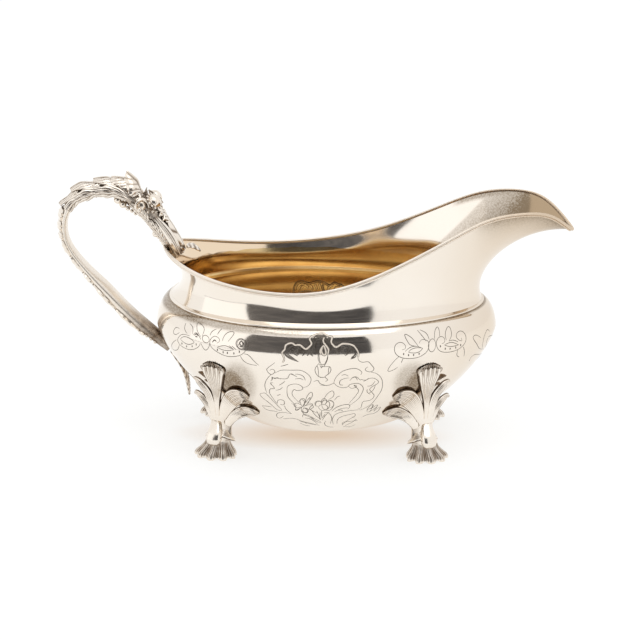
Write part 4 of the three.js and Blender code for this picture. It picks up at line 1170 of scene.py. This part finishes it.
CARTOUCHE_HATCH = [
    [(-34.3, 53), (-33.2, 54.9), (-32.3, 53.4)],
    [(-34, 54.3), (-33, 53), (-32.2, 54.5)],
    [(-33.9, 52.8), (-32.5, 52.7)],
    [(-52.2, 53.6), (-51.4, 54.3), (-50.6, 53.8)],
    [(-51.8, 53.3), (-50.9, 53.3)],
    [(-44.8, 52.6), (-44, 53.6), (-43.2, 53.2)],
    [(-5, 57.2), (-3.8, 58.3), (-1.5, 58.7), (0.8, 58.3), (2, 57.2)],
    [(-4.8, 56.5), (-3.2, 57.8), (0, 57.8), (1.8, 56.7)],
    [(-4, 58.1), (-1.5, 58.3), (0.5, 58.1)],
    [(-3.8, 56.1), (-2.8, 56.9), (-0.2, 57), (1, 56.3)],
    [(-5, 55), (-4, 55.8), (-3, 55.4)],
    [(-4.8, 51.8), (-5.2, 53.4), (-4.8, 55.7), (-4, 57.8)],
    [(-3.5, 51.8), (-3.8, 54.6), (-3, 58.1)],
    [(-2, 55), (-2, 58.3)],
    [(-0.5, 55.5), (-0.2, 58.1)],
    [(1, 52.6), (1.2, 55.3), (1, 57.9)],
    [(2, 52.2), (2.2, 54.2), (2, 56.3)],
    [(-15.5, 52.7), (-14.5, 54.2), (-12.8, 55.2)],
    [(-14.2, 51.9), (-13.2, 53.8), (-11, 54.8)],
    [(-12.8, 51.4), (-11.5, 53.3), (-9.5, 54.4)],
    [(-11, 51.1), (-10, 52.7), (-8, 53.5)],
    [(-9, 50.8), (-7.8, 52.2), (-6.5, 53)],
    [(-7.2, 50.9), (-5.8, 52.3)],
    [(12.2, 52.3), (11.8, 54.1), (10, 55.1)],
    [(10.8, 51.6), (10.2, 53.8), (8, 55)],
    [(9, 51.4), (8.5, 53.4), (6.5, 54.7)],
    [(7, 51.5), (6.8, 52.9), (5, 53.9)],
    [(5, 51.3), (4.5, 52.8), (3.5, 53.7)],
    [(10.2, 49.9), (11.5, 50.9), (12, 51.9)],
    [(-16, 51.5), (-14.2, 50.1), (-11, 48.4)],
    [(-15.2, 50.9), (-13.5, 49.8), (-11.8, 49)],
    [(-16.5, 51.9), (-14.5, 49.9), (-10.5, 48.3)],
    [(-16.2, 52.1), (-13.8, 50.6), (-10.8, 48.4)],
    [(-15.2, 52.4), (-13, 51.8), (-10.8, 50.7)],
    [(-14.5, 53.3), (-12.8, 52.6), (-10.5, 51.2)],
    [(-13.2, 54), (-11.2, 53.1), (-9.5, 51.8)],
    [(-11.8, 54.2), (-8.8, 52)],
    [(-10.5, 54.4), (-8.2, 52.6)],
    [(-8, 53.4), (-4.8, 50.7)],
    [(-6.5, 53.6), (-4.2, 51.4)],
    [(-5.2, 55), (-3.5, 53.2)],
    [(12, 52.1), (11.2, 50.5), (10, 49.3)],
    [(12.2, 51.4), (11.8, 50.2), (10.5, 49.5)],
    [(11.2, 53.6), (9.5, 52.1), (7.8, 50.8)],
    [(10, 54), (8.8, 52.8), (7.5, 51.2)],
    [(8.5, 54.3), (5.8, 52.6), (4.8, 51.4)],
    [(7, 54.8), (5, 53.1), (4, 51.8)],
    [(5.8, 54.1), (3.2, 52.3)],
]
CARTOUCHE = [
    [(-2.8, 51.4), (-3.8, 53), (-3.2, 53.4), (-2.5, 51.8)],
    [(-1.5, 51.8), (-0.5, 54.5), (0.2, 52)],
    [(-2.5, 51.8), (-2.2, 48.9), (-1.5, 47.3)],
    [(1, 51.2), (0.5, 48.9), (-0.5, 47.1)],
    [(-3.8, 45.9), (-3.2, 46.4), (-2.8, 45.2), (-2.5, 41.4)],
    [(2, 46.1), (1.5, 45.7), (1.2, 42.4)],
    [(-1.8, 46.6), (-1.5, 45.7), (-1, 46.4)],
    [(-9.2, 26.6), (-11, 26), (-12.2, 27.3), (-11, 28.4), (-9.2, 27.2)],
    [(-9.2, 27.2), (-9.8, 29.8), (-8.5, 30.9), (-7.8, 29.3), (-8.8, 27.2)],
    [(-8.8, 27.2), (-7, 29.9), (-5.8, 31.5), (-6.5, 28.9), (-8.2, 26.9)],
    [(-8.5, 26.7), (-6, 27.8), (-4.5, 26.8), (-6, 25.4), (-8.2, 26.1)],
    [(-9.2, 26.1), (-9, 23.9), (-7.2, 23.7), (-7, 25.1), (-8.5, 26.2)],
    [(-9.2, 26.4), (-11, 24.6), (-11.5, 25.4)],
    [(-2.8, 26.8), (-3.8, 27.9), (-3.5, 29.4), (-2, 29.7), (-1.2, 28.4)],
    [(-1.2, 28.4), (-1.2, 30.2), (0, 31), (0.8, 29.4), (0.2, 28.1)],
    [(0.2, 28.1), (1.5, 29.9), (3.2, 29.4), (3.5, 27.3), (2, 26.2)],
    [(-2.5, 26.3), (-1.2, 24.9), (0.5, 25.2), (1.2, 26.5), (0, 27.9), (-1.8, 27.6), (-2.5, 26.3)],
    [(-5.2, 25.1), (-3.8, 22.4), (-1.5, 19.9)],
    [(-3.2, 24.6), (-2.2, 21.9), (-1.5, 19.6)],
    [(-1.2, 24.6), (-1.2, 21.3)],
    [(2, 24.1), (0.5, 22.4), (-1, 19.3)],
    [(3.5, 25.1), (5.2, 26.7), (8.5, 27.6), (10.2, 26.9)],
    [(4, 24), (6.5, 25.5), (9.2, 25.8)],
    [(16.8, 24.1), (18.8, 24.9), (19.5, 26.5)],
    [(17.2, 22.6), (19.2, 23.7), (20.8, 25.2)],
    [(7, 16.2), (8.8, 18.5), (11.8, 20.9)],
    [(8.2, 15.8), (10.8, 17.4), (12.8, 19.3)],
    [(-9.8, 17.5), (-7.8, 16.4), (-5.8, 15.9)],
    [(-10.2, 18.7), (-7, 17.7), (-3.5, 16.6)],
    [(-8.5, 22.3), (-6, 21.2), (-3.5, 19), (-1.5, 17.8)],
    [(-7.8, 20.6), (-5.2, 19.8), (-2.8, 17.2)],
    [(-21.5, 38.6), (-20.8, 39.7), (-21, 40.6), (-19.8, 40), (-19, 40.5), (-17.5, 39.9)],
    [(-21, 36.6), (-21.5, 37.6), (-20.5, 37.9)],
    [(-18.2, 36.9), (-16.8, 38), (-15.8, 39.1)],
    [(-19.5, 34.3), (-17.8, 34.9), (-16.8, 36)],
    [(-19, 31.7), (-17.5, 32.4)],
    [(-13.8, 42.6), (-12.5, 42.2), (-11, 41.3)],
    [(-11.8, 40.3), (-9.8, 40.6), (-8.5, 39.9)],
    [(16.8, 36.3), (18.5, 36.6), (19.8, 38.5)],
    [(17.2, 32.6), (19, 34), (20, 36.5)],
    [(14, 39.9), (16, 39.3), (17.2, 40.2)],
    [(10.8, 40.6), (12, 41), (12.8, 39.5)],
    [(12.8, 49.8), (13.2, 48.6), (14.8, 47.7), (16.8, 47.8), (18.2, 46.3), (19.2, 44.7), (18.8, 43.5),
     (17.5, 43.1), (16, 43.9), (16, 44.8), (16.8, 45.4)],
    [(-3.2, 53.2), (-2.8, 51.9), (-2.8, 49.7), (-2.2, 48)],
    [(1, 51.4), (0.8, 49.2), (-0.5, 46.2)],
    [(-2.2, 48), (-3.8, 45.7), (-3.8, 43.7), (-3, 42.2), (-1.8, 41.4), (0, 41.4)],
    [(-0.5, 46.2), (2, 45.9), (1.8, 43.4), (0, 41.6), (1, 40.3), (0.2, 39.3)],
    [(-2.5, 47.1), (0, 47.2)],
    [(-2, 46.6), (-0.5, 46.3)],
    [(-2, 41.2), (0.2, 41.4)],
    [(-4.5, 39.3), (-2.8, 39.8), (-2, 38.5), (0, 37.6)],
    [(-2, 37.7), (1.2, 37.5), (3.5, 38.6)],
    [(-19.8, 42.6), (-17.8, 43.9), (-15.8, 44.3), (-12.8, 44.4), (-9.5, 44.4), (-7, 42.9), (-5.5, 40.4),
     (-6.5, 37.4), (-8.5, 36.4)],
    [(-13.2, 44.3), (-11.2, 44.5), (-9.5, 44.4)],
    [(-15, 35), (-14.5, 36.9), (-12, 37.9), (-9.8, 37.4), (-8.8, 36.3), (-9.2, 35.2), (-11.2, 34.8),
     (-12.2, 35.2), (-13, 33.3), (-12, 31), (-10, 28.5)],
    [(-15, 35), (-14.8, 32), (-13.5, 29.7), (-11.2, 26.9)],
    [(-21.2, 41.9), (-23, 39.4), (-23.8, 36.5), (-23.5, 34.2), (-23, 32.6)],
    [(-21.8, 37.9), (-20, 35.2), (-21.5, 34.8), (-22, 33), (-21.2, 31.1), (-18.8, 27.1)],
    [(-21.2, 39.4), (-19.8, 40.3), (-15.5, 40.2), (-14.2, 41.9), (-13.2, 42.7), (-12.2, 42)],
    [(-11.8, 42.6), (-10.2, 42.5), (-8.5, 41.6), (-7.8, 39.8)],
    [(-19.8, 47.4), (-22.2, 45.2), (-23, 43.7), (-22, 42.2), (-20.8, 42), (-19.8, 43.4), (-20.8, 44.3),
     (-21.8, 43.7)],
    [(-14.5, 47), (-17.5, 45.9)],
    [(-18.8, 27.7), (-18.5, 29.3), (-16.8, 29.6), (-16, 28.3), (-16.5, 27.1), (-17.8, 27.3)],
    [(-16, 26.7), (-15.2, 24.6), (-13.2, 22.6)],
    [(-13.2, 22.6), (-15.8, 22.9), (-18.5, 22.4), (-19.2, 20.5), (-18, 19.4), (-16.5, 20.9)],
    [(-25.8, 31.7), (-24, 32.4), (-22.5, 31.1), (-19.5, 27.4), (-17, 24.2)],
    [(-25.8, 31.7), (-25, 30), (-21.8, 27.1), (-19, 24.2), (-17, 24.1)],
    [(-25, 25.4), (-23, 23.5), (-20.2, 23.2), (-18.8, 22.9)],
    [(-25, 25.4), (-22.8, 25.5), (-21.2, 25.3)],
    [(-16.5, 19.3), (-13.2, 20), (-10.5, 19.4), (-7.2, 17.4)],
    [(-7.5, 28.8), (-7.2, 31.6), (-5.5, 34.1), (-5, 32.1), (-6.8, 28.8)],
    [(-7.2, 28.7), (-4.8, 28), (-6, 26.1), (-4.8, 24.5), (-3, 23.4)],
    [(-10.2, 29.2), (-9.2, 30.5), (-8, 28.8), (-9, 26.5), (-11.5, 24.6), (-11.5, 26.2), (-13.2, 28.2)],
    [(-8.8, 24.7), (-8, 26), (-6.5, 25), (-7.5, 23.3), (-8.8, 24.4), (-8, 22.5), (-3.8, 20.1),
     (-1.2, 18.2)],
    [(-8.8, 21), (-8.5, 22.4), (-6.5, 22.1), (-3.8, 20.1)],
    [(-3.8, 27.3), (-3, 29.4), (-1.2, 29.6), (0, 31.1)],
    [(-2, 19.9), (-1.8, 23.8)],
    [(-1.2, 20.5), (0.2, 22.9)],
    [(-9.5, 18.7), (-5.8, 17.7), (-2, 16.4)],
    [(-0.2, 31.1), (1, 33.3), (3, 34.7), (3.5, 32.4), (1.5, 30.4)],
    [(-1.2, 28), (-0.5, 29.8), (1.2, 29.6), (2, 28), (1.2, 25.6), (-0.5, 25.6), (-1.2, 28)],
    [(1.5, 30.1), (3.2, 29.2), (3.5, 27.3), (2.2, 25), (0.2, 25)],
    [(3.8, 30), (5, 31.7), (6, 32)],
    [(3.5, 38.6), (4.2, 41), (6, 43.3), (8, 44.5), (11, 45.1), (13.2, 44.5), (14.5, 43.1), (14, 42.1)],
    [(7.8, 44.4), (9.5, 44.9), (11.2, 45.1)],
    [(3.5, 38.6), (4.8, 37.1), (6.8, 36.2), (9, 36.5), (9.8, 37.5), (11.8, 38), (13.8, 37.6),
     (15.2, 35.4), (14.5, 32.6), (13, 29.9), (9.8, 27)],
    [(9.5, 36.6), (10.8, 35.7), (12.5, 36.5), (11.5, 37.1), (13, 35.3), (12.8, 32.8), (9.5, 28)],
    [(6.5, 42), (7.8, 42.4), (9.2, 41.6)],
    [(9.5, 40.8), (7, 40.3), (5.8, 39.1), (6, 37.7), (7.2, 37.5)],
    [(9.8, 39.5), (11, 40.9), (12.5, 41), (14, 39.3)],
    [(18.2, 42.9), (20.5, 41.9), (22.2, 39.7), (22.8, 37.3), (22.5, 34), (21, 30.8), (19.2, 27.8),
     (17, 25.7), (14, 24.1)],
    [(15.2, 38.6), (18.2, 40.1), (20.5, 39.1), (20.8, 37.2), (17.8, 34.8), (19.5, 31.6), (17.8, 29),
     (15.2, 28.5), (14.5, 25.8), (13.2, 24.9)],
    [(16.8, 34.8), (16.8, 33.4), (18, 32.1)],
    [(17, 23), (17.2, 24.8), (19, 26.6), (18.8, 24.8), (18, 22.6)],
    [(18.8, 24.6), (20.8, 26.1), (20.8, 25), (19.5, 22.8)],
    [(19.5, 22.8), (22.2, 24.8), (21.2, 22.7), (19.2, 21.5), (17.2, 21.3), (14.8, 20)],
    [(2.8, 24.3), (5, 26.5), (8.8, 27.7), (10, 26.6), (9.2, 25.2)],
    [(5.2, 24.7), (6.5, 24.8), (7.2, 24.1)],
    [(3.5, 16.9), (3.2, 20), (4.2, 22.4), (7, 23.7), (11, 24.3), (14, 24.4)],
    [(5, 17.2), (5.2, 19.5), (7, 21.3), (9.8, 22.1), (12, 22.4), (12, 20.9), (10.8, 20.1)],
    [(2.2, 17.3), (2.8, 20.8), (1.5, 23.4), (-0.2, 23.6)],
    [(7.2, 16.6), (7.5, 17.9), (9.8, 18.2), (13.2, 18.4)],
    [(0.5, 18.9), (0, 17.4), (1.2, 15.7), (3.5, 15.2)],
    [(7.5, 15.3), (10.2, 14.8), (12.2, 16)],
]
LEFT_SPRAY = [
    [(-58.5, 54.1), (-59.8, 54.1), (-60.8, 52.8), (-61, 51.5), (-60, 51.3), (-58.5, 52.7)],
    [(-59.8, 49.2), (-61.2, 47.2), (-62, 44.7), (-61.5, 42.9), (-60, 43.6), (-59, 45.4), (-58.5, 47.5)],
    [(-54.2, 52.8), (-56.8, 52.6), (-58.5, 51.2), (-59.2, 49.3), (-58.5, 47.8), (-56.8, 46.9),
     (-54.2, 46.9), (-51.8, 48.2), (-50.2, 49.9), (-49.8, 51.1)],
    [(-58, 50.3), (-56.8, 51.6), (-55.2, 52), (-53.5, 51.7), (-52.2, 50.9)],
    [(-58, 50.3), (-56.8, 49.5), (-54.8, 49.2), (-52.8, 50.2), (-52.2, 50.9)],
    [(-55.2, 53.4), (-56.2, 54.6), (-56.2, 55.9), (-55.8, 57)],
    [(-53, 53.9), (-52.8, 55.6), (-53.2, 56.7), (-54.2, 57.3)],
    [(-49.5, 53.7), (-50.8, 55.2), (-51.2, 56.6), (-50.8, 58.4), (-48.8, 57.8), (-48.2, 56.4),
     (-49, 54.1)],
    [(-52.8, 53.5), (-51.5, 54.7), (-50.2, 53.7), (-49.5, 52.7)],
    [(-49.5, 51.2), (-48.8, 49.9), (-47.5, 48.8), (-46.2, 50.5), (-46, 51.9)],
    [(-43, 52.6), (-42, 53.5), (-42.2, 54.6), (-43.8, 55.1), (-45.2, 54.1), (-45.8, 52.8), (-45.5, 51.1),
     (-44, 49.7), (-41.5, 48.5), (-38.5, 47.9), (-35.5, 48.4), (-33, 49.6), (-31.2, 51.7), (-30.2, 54),
     (-31, 55.3), (-33, 55.6)],
    [(-42.8, 51), (-41, 51.9), (-38.8, 52.1), (-36.2, 51.1)],
    [(-42.8, 51), (-40.8, 50.4), (-38.5, 50.4), (-36.2, 51.1)],
    [(-38, 52.5), (-36.5, 51.4)],
    [(-37, 52.5), (-35.2, 51.3)],
    [(-45.8, 55), (-45, 56.6), (-43.2, 57.8)],
    [(-42.8, 55.9), (-42, 57.2), (-41, 58.3)],
    [(-40.8, 53.8), (-40, 55.9), (-38.2, 57.5), (-36.2, 57.7), (-36.8, 56.2), (-38.5, 54)],
    [(-33.5, 48.8), (-32.5, 47.2), (-30.5, 45.9), (-27, 45.4)],
    [(-32, 50), (-30.2, 49.6), (-28.5, 47.8), (-26.2, 45.6)],
]
RIGHT_SPRAY = [
    [(30.2, 51.6), (31.5, 52.1), (31.2, 53.6), (29.5, 54.6), (27.8, 54), (27.2, 52.4), (27.8, 50.2),
     (30.2, 48.3), (33.5, 47.5), (36.8, 47.6), (39.5, 48.9), (40.8, 50.9), (40.8, 53.1), (39.8, 54.2),
     (38, 54.6), (37, 53.4)],
    [(31.5, 50.8), (33, 52), (35.5, 52.4), (38.2, 51.3)],
    [(32.8, 50.3), (34, 51.4), (36.2, 51.7), (38.5, 51.2)],
    [(32.8, 50.3), (35.2, 49.7), (37.2, 50), (38.5, 51.2)],
    [(36, 52.3), (33.8, 53), (32.5, 54.4), (31.2, 57.3), (33.5, 56.2), (35.2, 54.3), (37, 51.8)],
    [(36.2, 58.3), (38, 56.2), (39.8, 53.8)],
    [(37.2, 58.3), (39.8, 56.7), (41, 54.2)],
    [(46.2, 51.8), (47.2, 52.2), (47, 53.8), (45.5, 54.6), (44.2, 53.6), (44, 51.5), (45.2, 49.1),
     (47.5, 47.8), (50.5, 47.4), (53.5, 48), (55.5, 49.7), (56, 51.9), (55, 54.2), (53.2, 55.1),
     (52, 54.1), (52.5, 52.3), (54.2, 51.1), (54, 52.3)],
    [(47.2, 51), (49, 51.5), (50.8, 51.2), (53, 49.8)],
    [(47.2, 51), (49.5, 49.9), (51.8, 49.7), (53, 49.8)],
    [(49, 52.2), (50.8, 52.2), (52.8, 51)],
    [(43.2, 54.2), (43.2, 56.8), (44.2, 58.3), (45, 56.8), (45.2, 54.7)],
    [(48, 52.7), (47.5, 55.6), (48.8, 57.7), (50, 54.8), (49, 52.3)],
    [(52.8, 47.8), (52.5, 45.1), (53.5, 43.8)],
    [(55, 48.3), (55.5, 46.2), (55.5, 43.4)],
    [(29, 48.9), (26.5, 46.3), (24.8, 43), (26.8, 43), (28.8, 44.3)],
    [(30.8, 48.1), (30, 46)],
    [(62.2, 49.8), (60.2, 51.6), (59, 50.9), (60.5, 47.8), (61.8, 44.6), (63.8, 42.5)],
    [(63.2, 43.7), (63.5, 48.5), (64.8, 51.6), (66, 50.4)],
    [(64.8, 40.9), (65.5, 47.9), (68.2, 46)],
    [(64, 38.3), (60.2, 42), (58.2, 40.7), (58, 39.5)],
    [(64.5, 38.3), (62.5, 38.3), (60.2, 33)],
]
DOTS = [
    (-57.5, 48.5), (-55.5, 48), (-53.2, 48.9), (-51.5, 50.2), (-42.8, 50), (-40.5, 49.4),
    (-38.8, 49.4), (-36.2, 49.6), (-34, 50.6), (30.8, 49.8), (32.8, 49.1), (34.8, 48.9), (37, 49.1),
    (45.5, 50.8), (47.5, 49.4), (49.5, 48.9), (51.8, 48.9), (53.8, 49.4),
]
# Middles of small ovals, with their half sizes along the bowl and upwards
RINGS = [
    (-47.5, 53.3, 1.4, 1.4), (-33.2, 53.7, 2.1, 2.1), (-33.2, 53.7, 1.7, 1.8), (42.2, 51.7, 1.45, 2.6),
]


def bowl_point(x, height, side):
    """Point on the outside of the bowl at a distance along it and a height, on the side -1 or 1."""
    half_length, half_width = bowl_half(np.clip(height, FLOOR_HEIGHT + 1, SHOULDER_HEIGHT - 0.15))
    c = np.clip(x / half_length, -0.999, 0.999)
    y = side * half_width * np.sqrt(1 - c * c) * (1 - OVAL_EGG * c)
    return np.stack([c * half_length, y, height + 0 * x], axis=-1)


# Each cut is a bead of a width and a height with a mark, 1 where it is shaded
LINE = (0.27, 0.025, 1.0)
HATCH = (0.5, 0.02, 1.0)
BORDER = (1.05, 0.012, 1.0)
BORDER_LIGHT = (0.756, 0.03, 0.0)
PRESSED_EDGE, PRESSED_CREST = (1.4, 0.18, 0.8), (0.5, 0.4, 0.3)
PRESSED_FOOT, PRESSED_RIB = (2.0, 0.14, 0.45), (0.9, 0.62, 0.0)
POINTS_A_SPAN = 7


def cut_lines(shell, lines, side, bead, within=False):
    """Beads along smooth curves on the bowl or within it."""
    for places in lines:
        cut_line(shell, places, side, bead, within)


def cut_line(shell, places, side, bead, within):
    """A fine bead along a smooth curve on the bowl or within it, tapered at both ends."""
    width, height, mark = bead
    u = np.linspace(0, len(places) - 1, POINTS_A_SPAN * len(places))
    x, z = (open_spline(values, u) for values in zip(*places))
    line = bowl_point(x, z, side)
    step = 0.02
    normal = unit(np.cross(
        bowl_point(x + step, z, side) - bowl_point(x - step, z, side),
        bowl_point(x, z + step, side) - bowl_point(x, z - step, side),
    )) * -side
    if within:
        line, normal = line - (SHEET - 0.05) * normal, -normal
    along = unit(np.gradient(line, axis=0))
    across = np.cross(normal, along)
    taper = 0.35 + 0.65 * np.sin(np.pi * np.linspace(0.02, 0.98, len(u))) ** 0.4
    columns = [(0.5, 0.0), (0.25, height), (-0.25, height), (-0.5, 0.0), (-0.25, -0.08), (0.25, -0.08)]
    points = np.stack([
        line + (share * width * taper)[:, None] * across + lift * normal for share, lift in columns
    ], axis=1)
    shell.add(points, mark)


def make_engraving(side, name):
    """The scrollwork and flowers on one side, as fine darkened beads."""
    shell = Shell()
    cut_lines(shell, CARTOUCHE_BORDER, side, BORDER)
    cut_lines(shell, CARTOUCHE_BORDER, side, BORDER_LIGHT)
    cut_lines(shell, CARTOUCHE_HATCH, side, HATCH)
    cut_lines(shell, CARTOUCHE + LEFT_SPRAY + RIGHT_SPRAY, side, LINE)
    cut_lines(shell, [[(x, z + 0.45), (x + 0.1, z), (x, z - 0.45)] for x, z in DOTS], side, HATCH)
    turn = np.linspace(0, 2 * np.pi, 15)
    for x, z, half_across, half_up in RINGS:
        ring = np.stack([x + half_across * np.cos(turn), z + half_up * np.sin(turn)], axis=1)
        cut_lines(shell, [ring], side, LINE)
    shell.finish("engraving_" + name, engraved, [])


# The engraving's middle as it shows pressed through to the gilt inside: dark edges as painted shade and
# bright ribs of lighter gilt as painted highlight
PRESSED_EDGES = [
    [(-14.6, 44), (-14.3, 47.3), (-13.9, 49.5), (-12.9, 51.1), (-11.6, 51.7), (-9.9, 51.5), (-8.2, 50.8),
     (-6.5, 51.1), (-4.8, 51.7), (-3.1, 51.7), (-1, 51), (1.1, 50.1), (3.2, 51.3), (4.5, 50.8),
     (6.2, 50.4), (8, 48.4), (8.6, 45)],
    [(-1.5, 50.4), (-1.9, 48.6), (-0.8, 46.6)],
]
PRESSED_RIBS = [
    [(-13, 47.6), (-12.3, 49.6), (-11, 50.6), (-9.8, 50.4)],
    [(-11.6, 47.4), (-10.4, 49.3), (-9.2, 50)],
    [(-9.7, 50.6), (-8.6, 49.4), (-8, 47.8)],
    [(-7.4, 50), (-6.6, 48.9), (-6.2, 47.4)],
    [(-5.4, 50.7), (-4.8, 49.3), (-4.4, 47.6)],
    [(-3.5, 50.9), (-3, 49.4), (-2.9, 47.8)],
    [(0.4, 47.4), (0.9, 49.1), (2.4, 50.2)],
    [(3, 47.6), (4, 49), (5.6, 49.6)],
    [(-12.6, 45.4), (-10.7, 46.4), (-7.3, 46.6), (-3.9, 46.2)],
]


def make_embossing(side, name):
    """The engraving's middle, pressed through to the gilt inside, with painted shade on its edges and
    painted highlight on its ribs.
    """
    shell = Shell()
    for lines, beads in (
        (PRESSED_EDGES, (PRESSED_EDGE, PRESSED_CREST)),
        (PRESSED_RIBS, (PRESSED_FOOT, PRESSED_RIB)),
    ):
        for bead in beads:
            cut_lines(shell, lines, side, bead, within=True)
    shell.finish("embossing_" + name, pressed_gilt, [])


make_bowl()
make_moulding()
make_neck()
make_rim_wire()
for end, part in ((1, "front_"), (-1, "back_")):
    for side, name in ((-1, "near"), (1, "far")):
        make_leg(end, side, part + name)
        make_foot_shell(end, side, part + name)

make_strap()
for index, blade in enumerate([(3.7, 5.2, 4.75), (4.75, 6.1, 5.75), (5.75, 6.75, 6.8)], start=1):
    make_arch_leaf(index, *blade)
make_crest_leaf()
make_pearls()
make_root_leaf()
make_lower_band()
make_tail_leaf()
make_tongue_leaf()
for make_lines in (make_engraving, make_embossing):
    make_lines(-1, "near")
    make_lines(1, "far")
for side, name in ((1, "near"), (-1, "far")):
    make_side_leaf(side, name)
    make_rosette(side, name)


# Studio: white floor, white surround, a soft lamp overhead and the camera of the photograph

WHITE = (1, 1, 1, 1)
TABLE_REACH = 3.0
TABLE_BASE, TABLE_GLOW = (0.36, 0.385, 0.41, 1), (1, 0.97, 0.93, 1)
TABLE_PAINTED_SHADOW = (0.78, 0.58, 0.41, 1)
CARD_STEPS = 25
SOFT_LIGHT = 0.97
CAMERA_DISTANCE, PIXELS_PER_MM, PICTURE_WIDTH, SENSOR_WIDTH = 1200, 2.451, 640, 36


def make_floor():
    """Wide white table top, with a painted warm shadow under the bowl in its glow; its bluish base and
    warm glow add up to white where lit, so its shade turns warm.
    """
    mesh = bpy.data.meshes.new("table_top")
    corners = [(x * TABLE_REACH, y * TABLE_REACH, 0) for x, y in ((-1, -1), (1, -1), (1, 1), (-1, 1))]
    mesh.from_pydata(corners, [], [(0, 1, 2, 3)])
    n = Nodes(bpy.data.materials.new("white table"))
    # Painted warm shadow: the glow turns to a warm brown in an oval under the bowl.
    spread = n.add("ShaderNodeVectorMath", [(0, n.place((19, 58, 1)))], operation="LENGTH")
    under = n.ranged(spread.outputs["Value"], 0.2, 1.15, 1, 0)
    mesh.materials.append(n.shade(
        Base_Color=TABLE_BASE,
        Roughness=1.0,
        Specular_IOR_Level=0.0,
        Emission_Color=n.mixed(under, TABLE_GLOW, TABLE_PAINTED_SHADOW),
        Emission_Strength=0.665,
    ))
    hand_over("table_top", mesh)


def make_world():
    """White surround for the camera and for reflections, and a little less for soft light."""
    world = bpy.data.worlds.new("white surround")
    n = Nodes(world)
    n.tree.nodes.clear()
    rays = n.add("ShaderNodeLightPath").outputs
    seen = n.maths("ADD", rays["Is Camera Ray"], rays["Is Glossy Ray"])
    level = n.add("ShaderNodeMix", [(0, seen), (2, SOFT_LIGHT), (3, 1.0)], data_type="FLOAT").outputs[0]
    surround = n.add("ShaderNodeBackground", [("Color", WHITE), ("Strength", level)])
    n.add("ShaderNodeOutputWorld", [("Surface", surround.outputs[0])])
    bpy.context.scene.world = world


def make_lamp(name, place, aim, size, power):
    """A soft square lamp."""
    light = bpy.data.lights.new(name, "AREA")
    light.shape = "SQUARE"
    light.size = size * MM
    light.energy = power
    lamp = bpy.data.objects.new(name, light)
    lamp.location = Vector(place) * MM
    lamp.rotation_euler = (Vector(aim) - Vector(place)).to_track_quat("-Z", "Y").to_euler()
    bpy.context.scene.collection.objects.link(lamp)


def make_camera():
    """Camera fitted to the photograph: nearly square on, 18.5 degrees above the table."""
    azimuth, elevation, roll = np.radians([0.4, 18.5, 0.75])
    target = np.array([BOWL_MIDDLE - 2.6, 0, 49.9])
    forward = np.array([
        -np.sin(azimuth) * np.cos(elevation), np.cos(azimuth) * np.cos(elevation), -np.sin(elevation),
    ])
    right = np.array([np.cos(azimuth), np.sin(azimuth), 0])
    up = np.cross(right, forward)
    right, up = np.cos(roll) * right + np.sin(roll) * up, np.cos(roll) * up - np.sin(roll) * right
    eye = (target - CAMERA_DISTANCE * forward) * MM
    data = bpy.data.cameras.new("camera")
    data.sensor_width = SENSOR_WIDTH
    data.lens = PIXELS_PER_MM * CAMERA_DISTANCE * SENSOR_WIDTH / PICTURE_WIDTH
    data.clip_start = 0.05
    camera = bpy.data.objects.new("camera", data)
    camera.matrix_world = Matrix((
        (right[0], up[0], -forward[0], eye[0]),
        (right[1], up[1], -forward[1], eye[1]),
        (right[2], up[2], -forward[2], eye[2]),
        (0, 0, 0, 1),
    ))
    bpy.context.scene.collection.objects.link(camera)
    bpy.context.scene.camera = camera


def around(distance, turn, height):
    """Point at a distance and a turn from straight ahead of the camera side, to the right."""
    angle = np.radians(turn)
    return (distance * np.sin(angle), -distance * np.cos(angle), height)


def bent_card(name, turns, low, high, colours, strength):
    """A glowing card bent round the object: low and high are its edges' distance and height.

    Its colour runs from the first, at the left, to the second, with clouds over it.
    """
    angle = np.linspace(turns[0], turns[1], CARD_STEPS)
    rows = [[around(distance, turn, height) for turn in angle] for distance, height in (low, high)]
    points = np.array(rows).reshape(-1, 3) * MM
    faces = [(k, k + 1, CARD_STEPS + k + 1, CARD_STEPS + k) for k in range(CARD_STEPS - 1)]
    mesh = bpy.data.meshes.new(name)
    mesh.from_pydata([Vector(point) for point in points], [], faces)
    n = Nodes(bpy.data.materials.new(name))
    clouds = n.ranged(n.noise(9, 5, (1, 1, 1.6), 0.65), 0.38, 0.62, -0.25, 0.25)
    share = n.maths("ADD", clouds, n.ranged(n.axis("X"), -0.5, 0.35, 0, 1))
    glow = n.add("ShaderNodeEmission", [("Color", n.mixed(share, *colours)), ("Strength", strength)])
    n.plug(n.tree.nodes["Material Output"].inputs["Surface"], glow.outputs[0])
    mesh.materials.append(n.owner)
    piece = hand_over(name, mesh)
    piece.visible_camera = False
    piece.visible_diffuse = False
    piece.visible_shadow = False


def make_cards():
    """The dark room beyond the table, the window beside it and the light wall above it."""
    room = ((0.17, 0.16, 0.155, 1), (0.055, 0.055, 0.058, 1))
    bent_card("dark_room", (-36.5, 27.5), (450, 1), (930, 760), room, 1.0)
    bent_card("window", (-80, -37), (450, 1), (930, 760), (WHITE, WHITE), 1.18)
    bent_card("light_wall", (-60, 27), (935, 770), (900, 1700), (WHITE, WHITE), 1.05)
    grey = (0.3, 0.3, 0.31, 1)
    bent_card("table_edge", (-82, 27.5), (415, 1), (449, 1), (grey, grey), 1.0)


make_floor()
make_world()
make_cards()
make_lamp("overhead_lamp", (150, -500, 1500), (0, 0, 40), 1200, 4)
make_camera()
bpy.context.scene.view_settings.view_transform = "Standard"
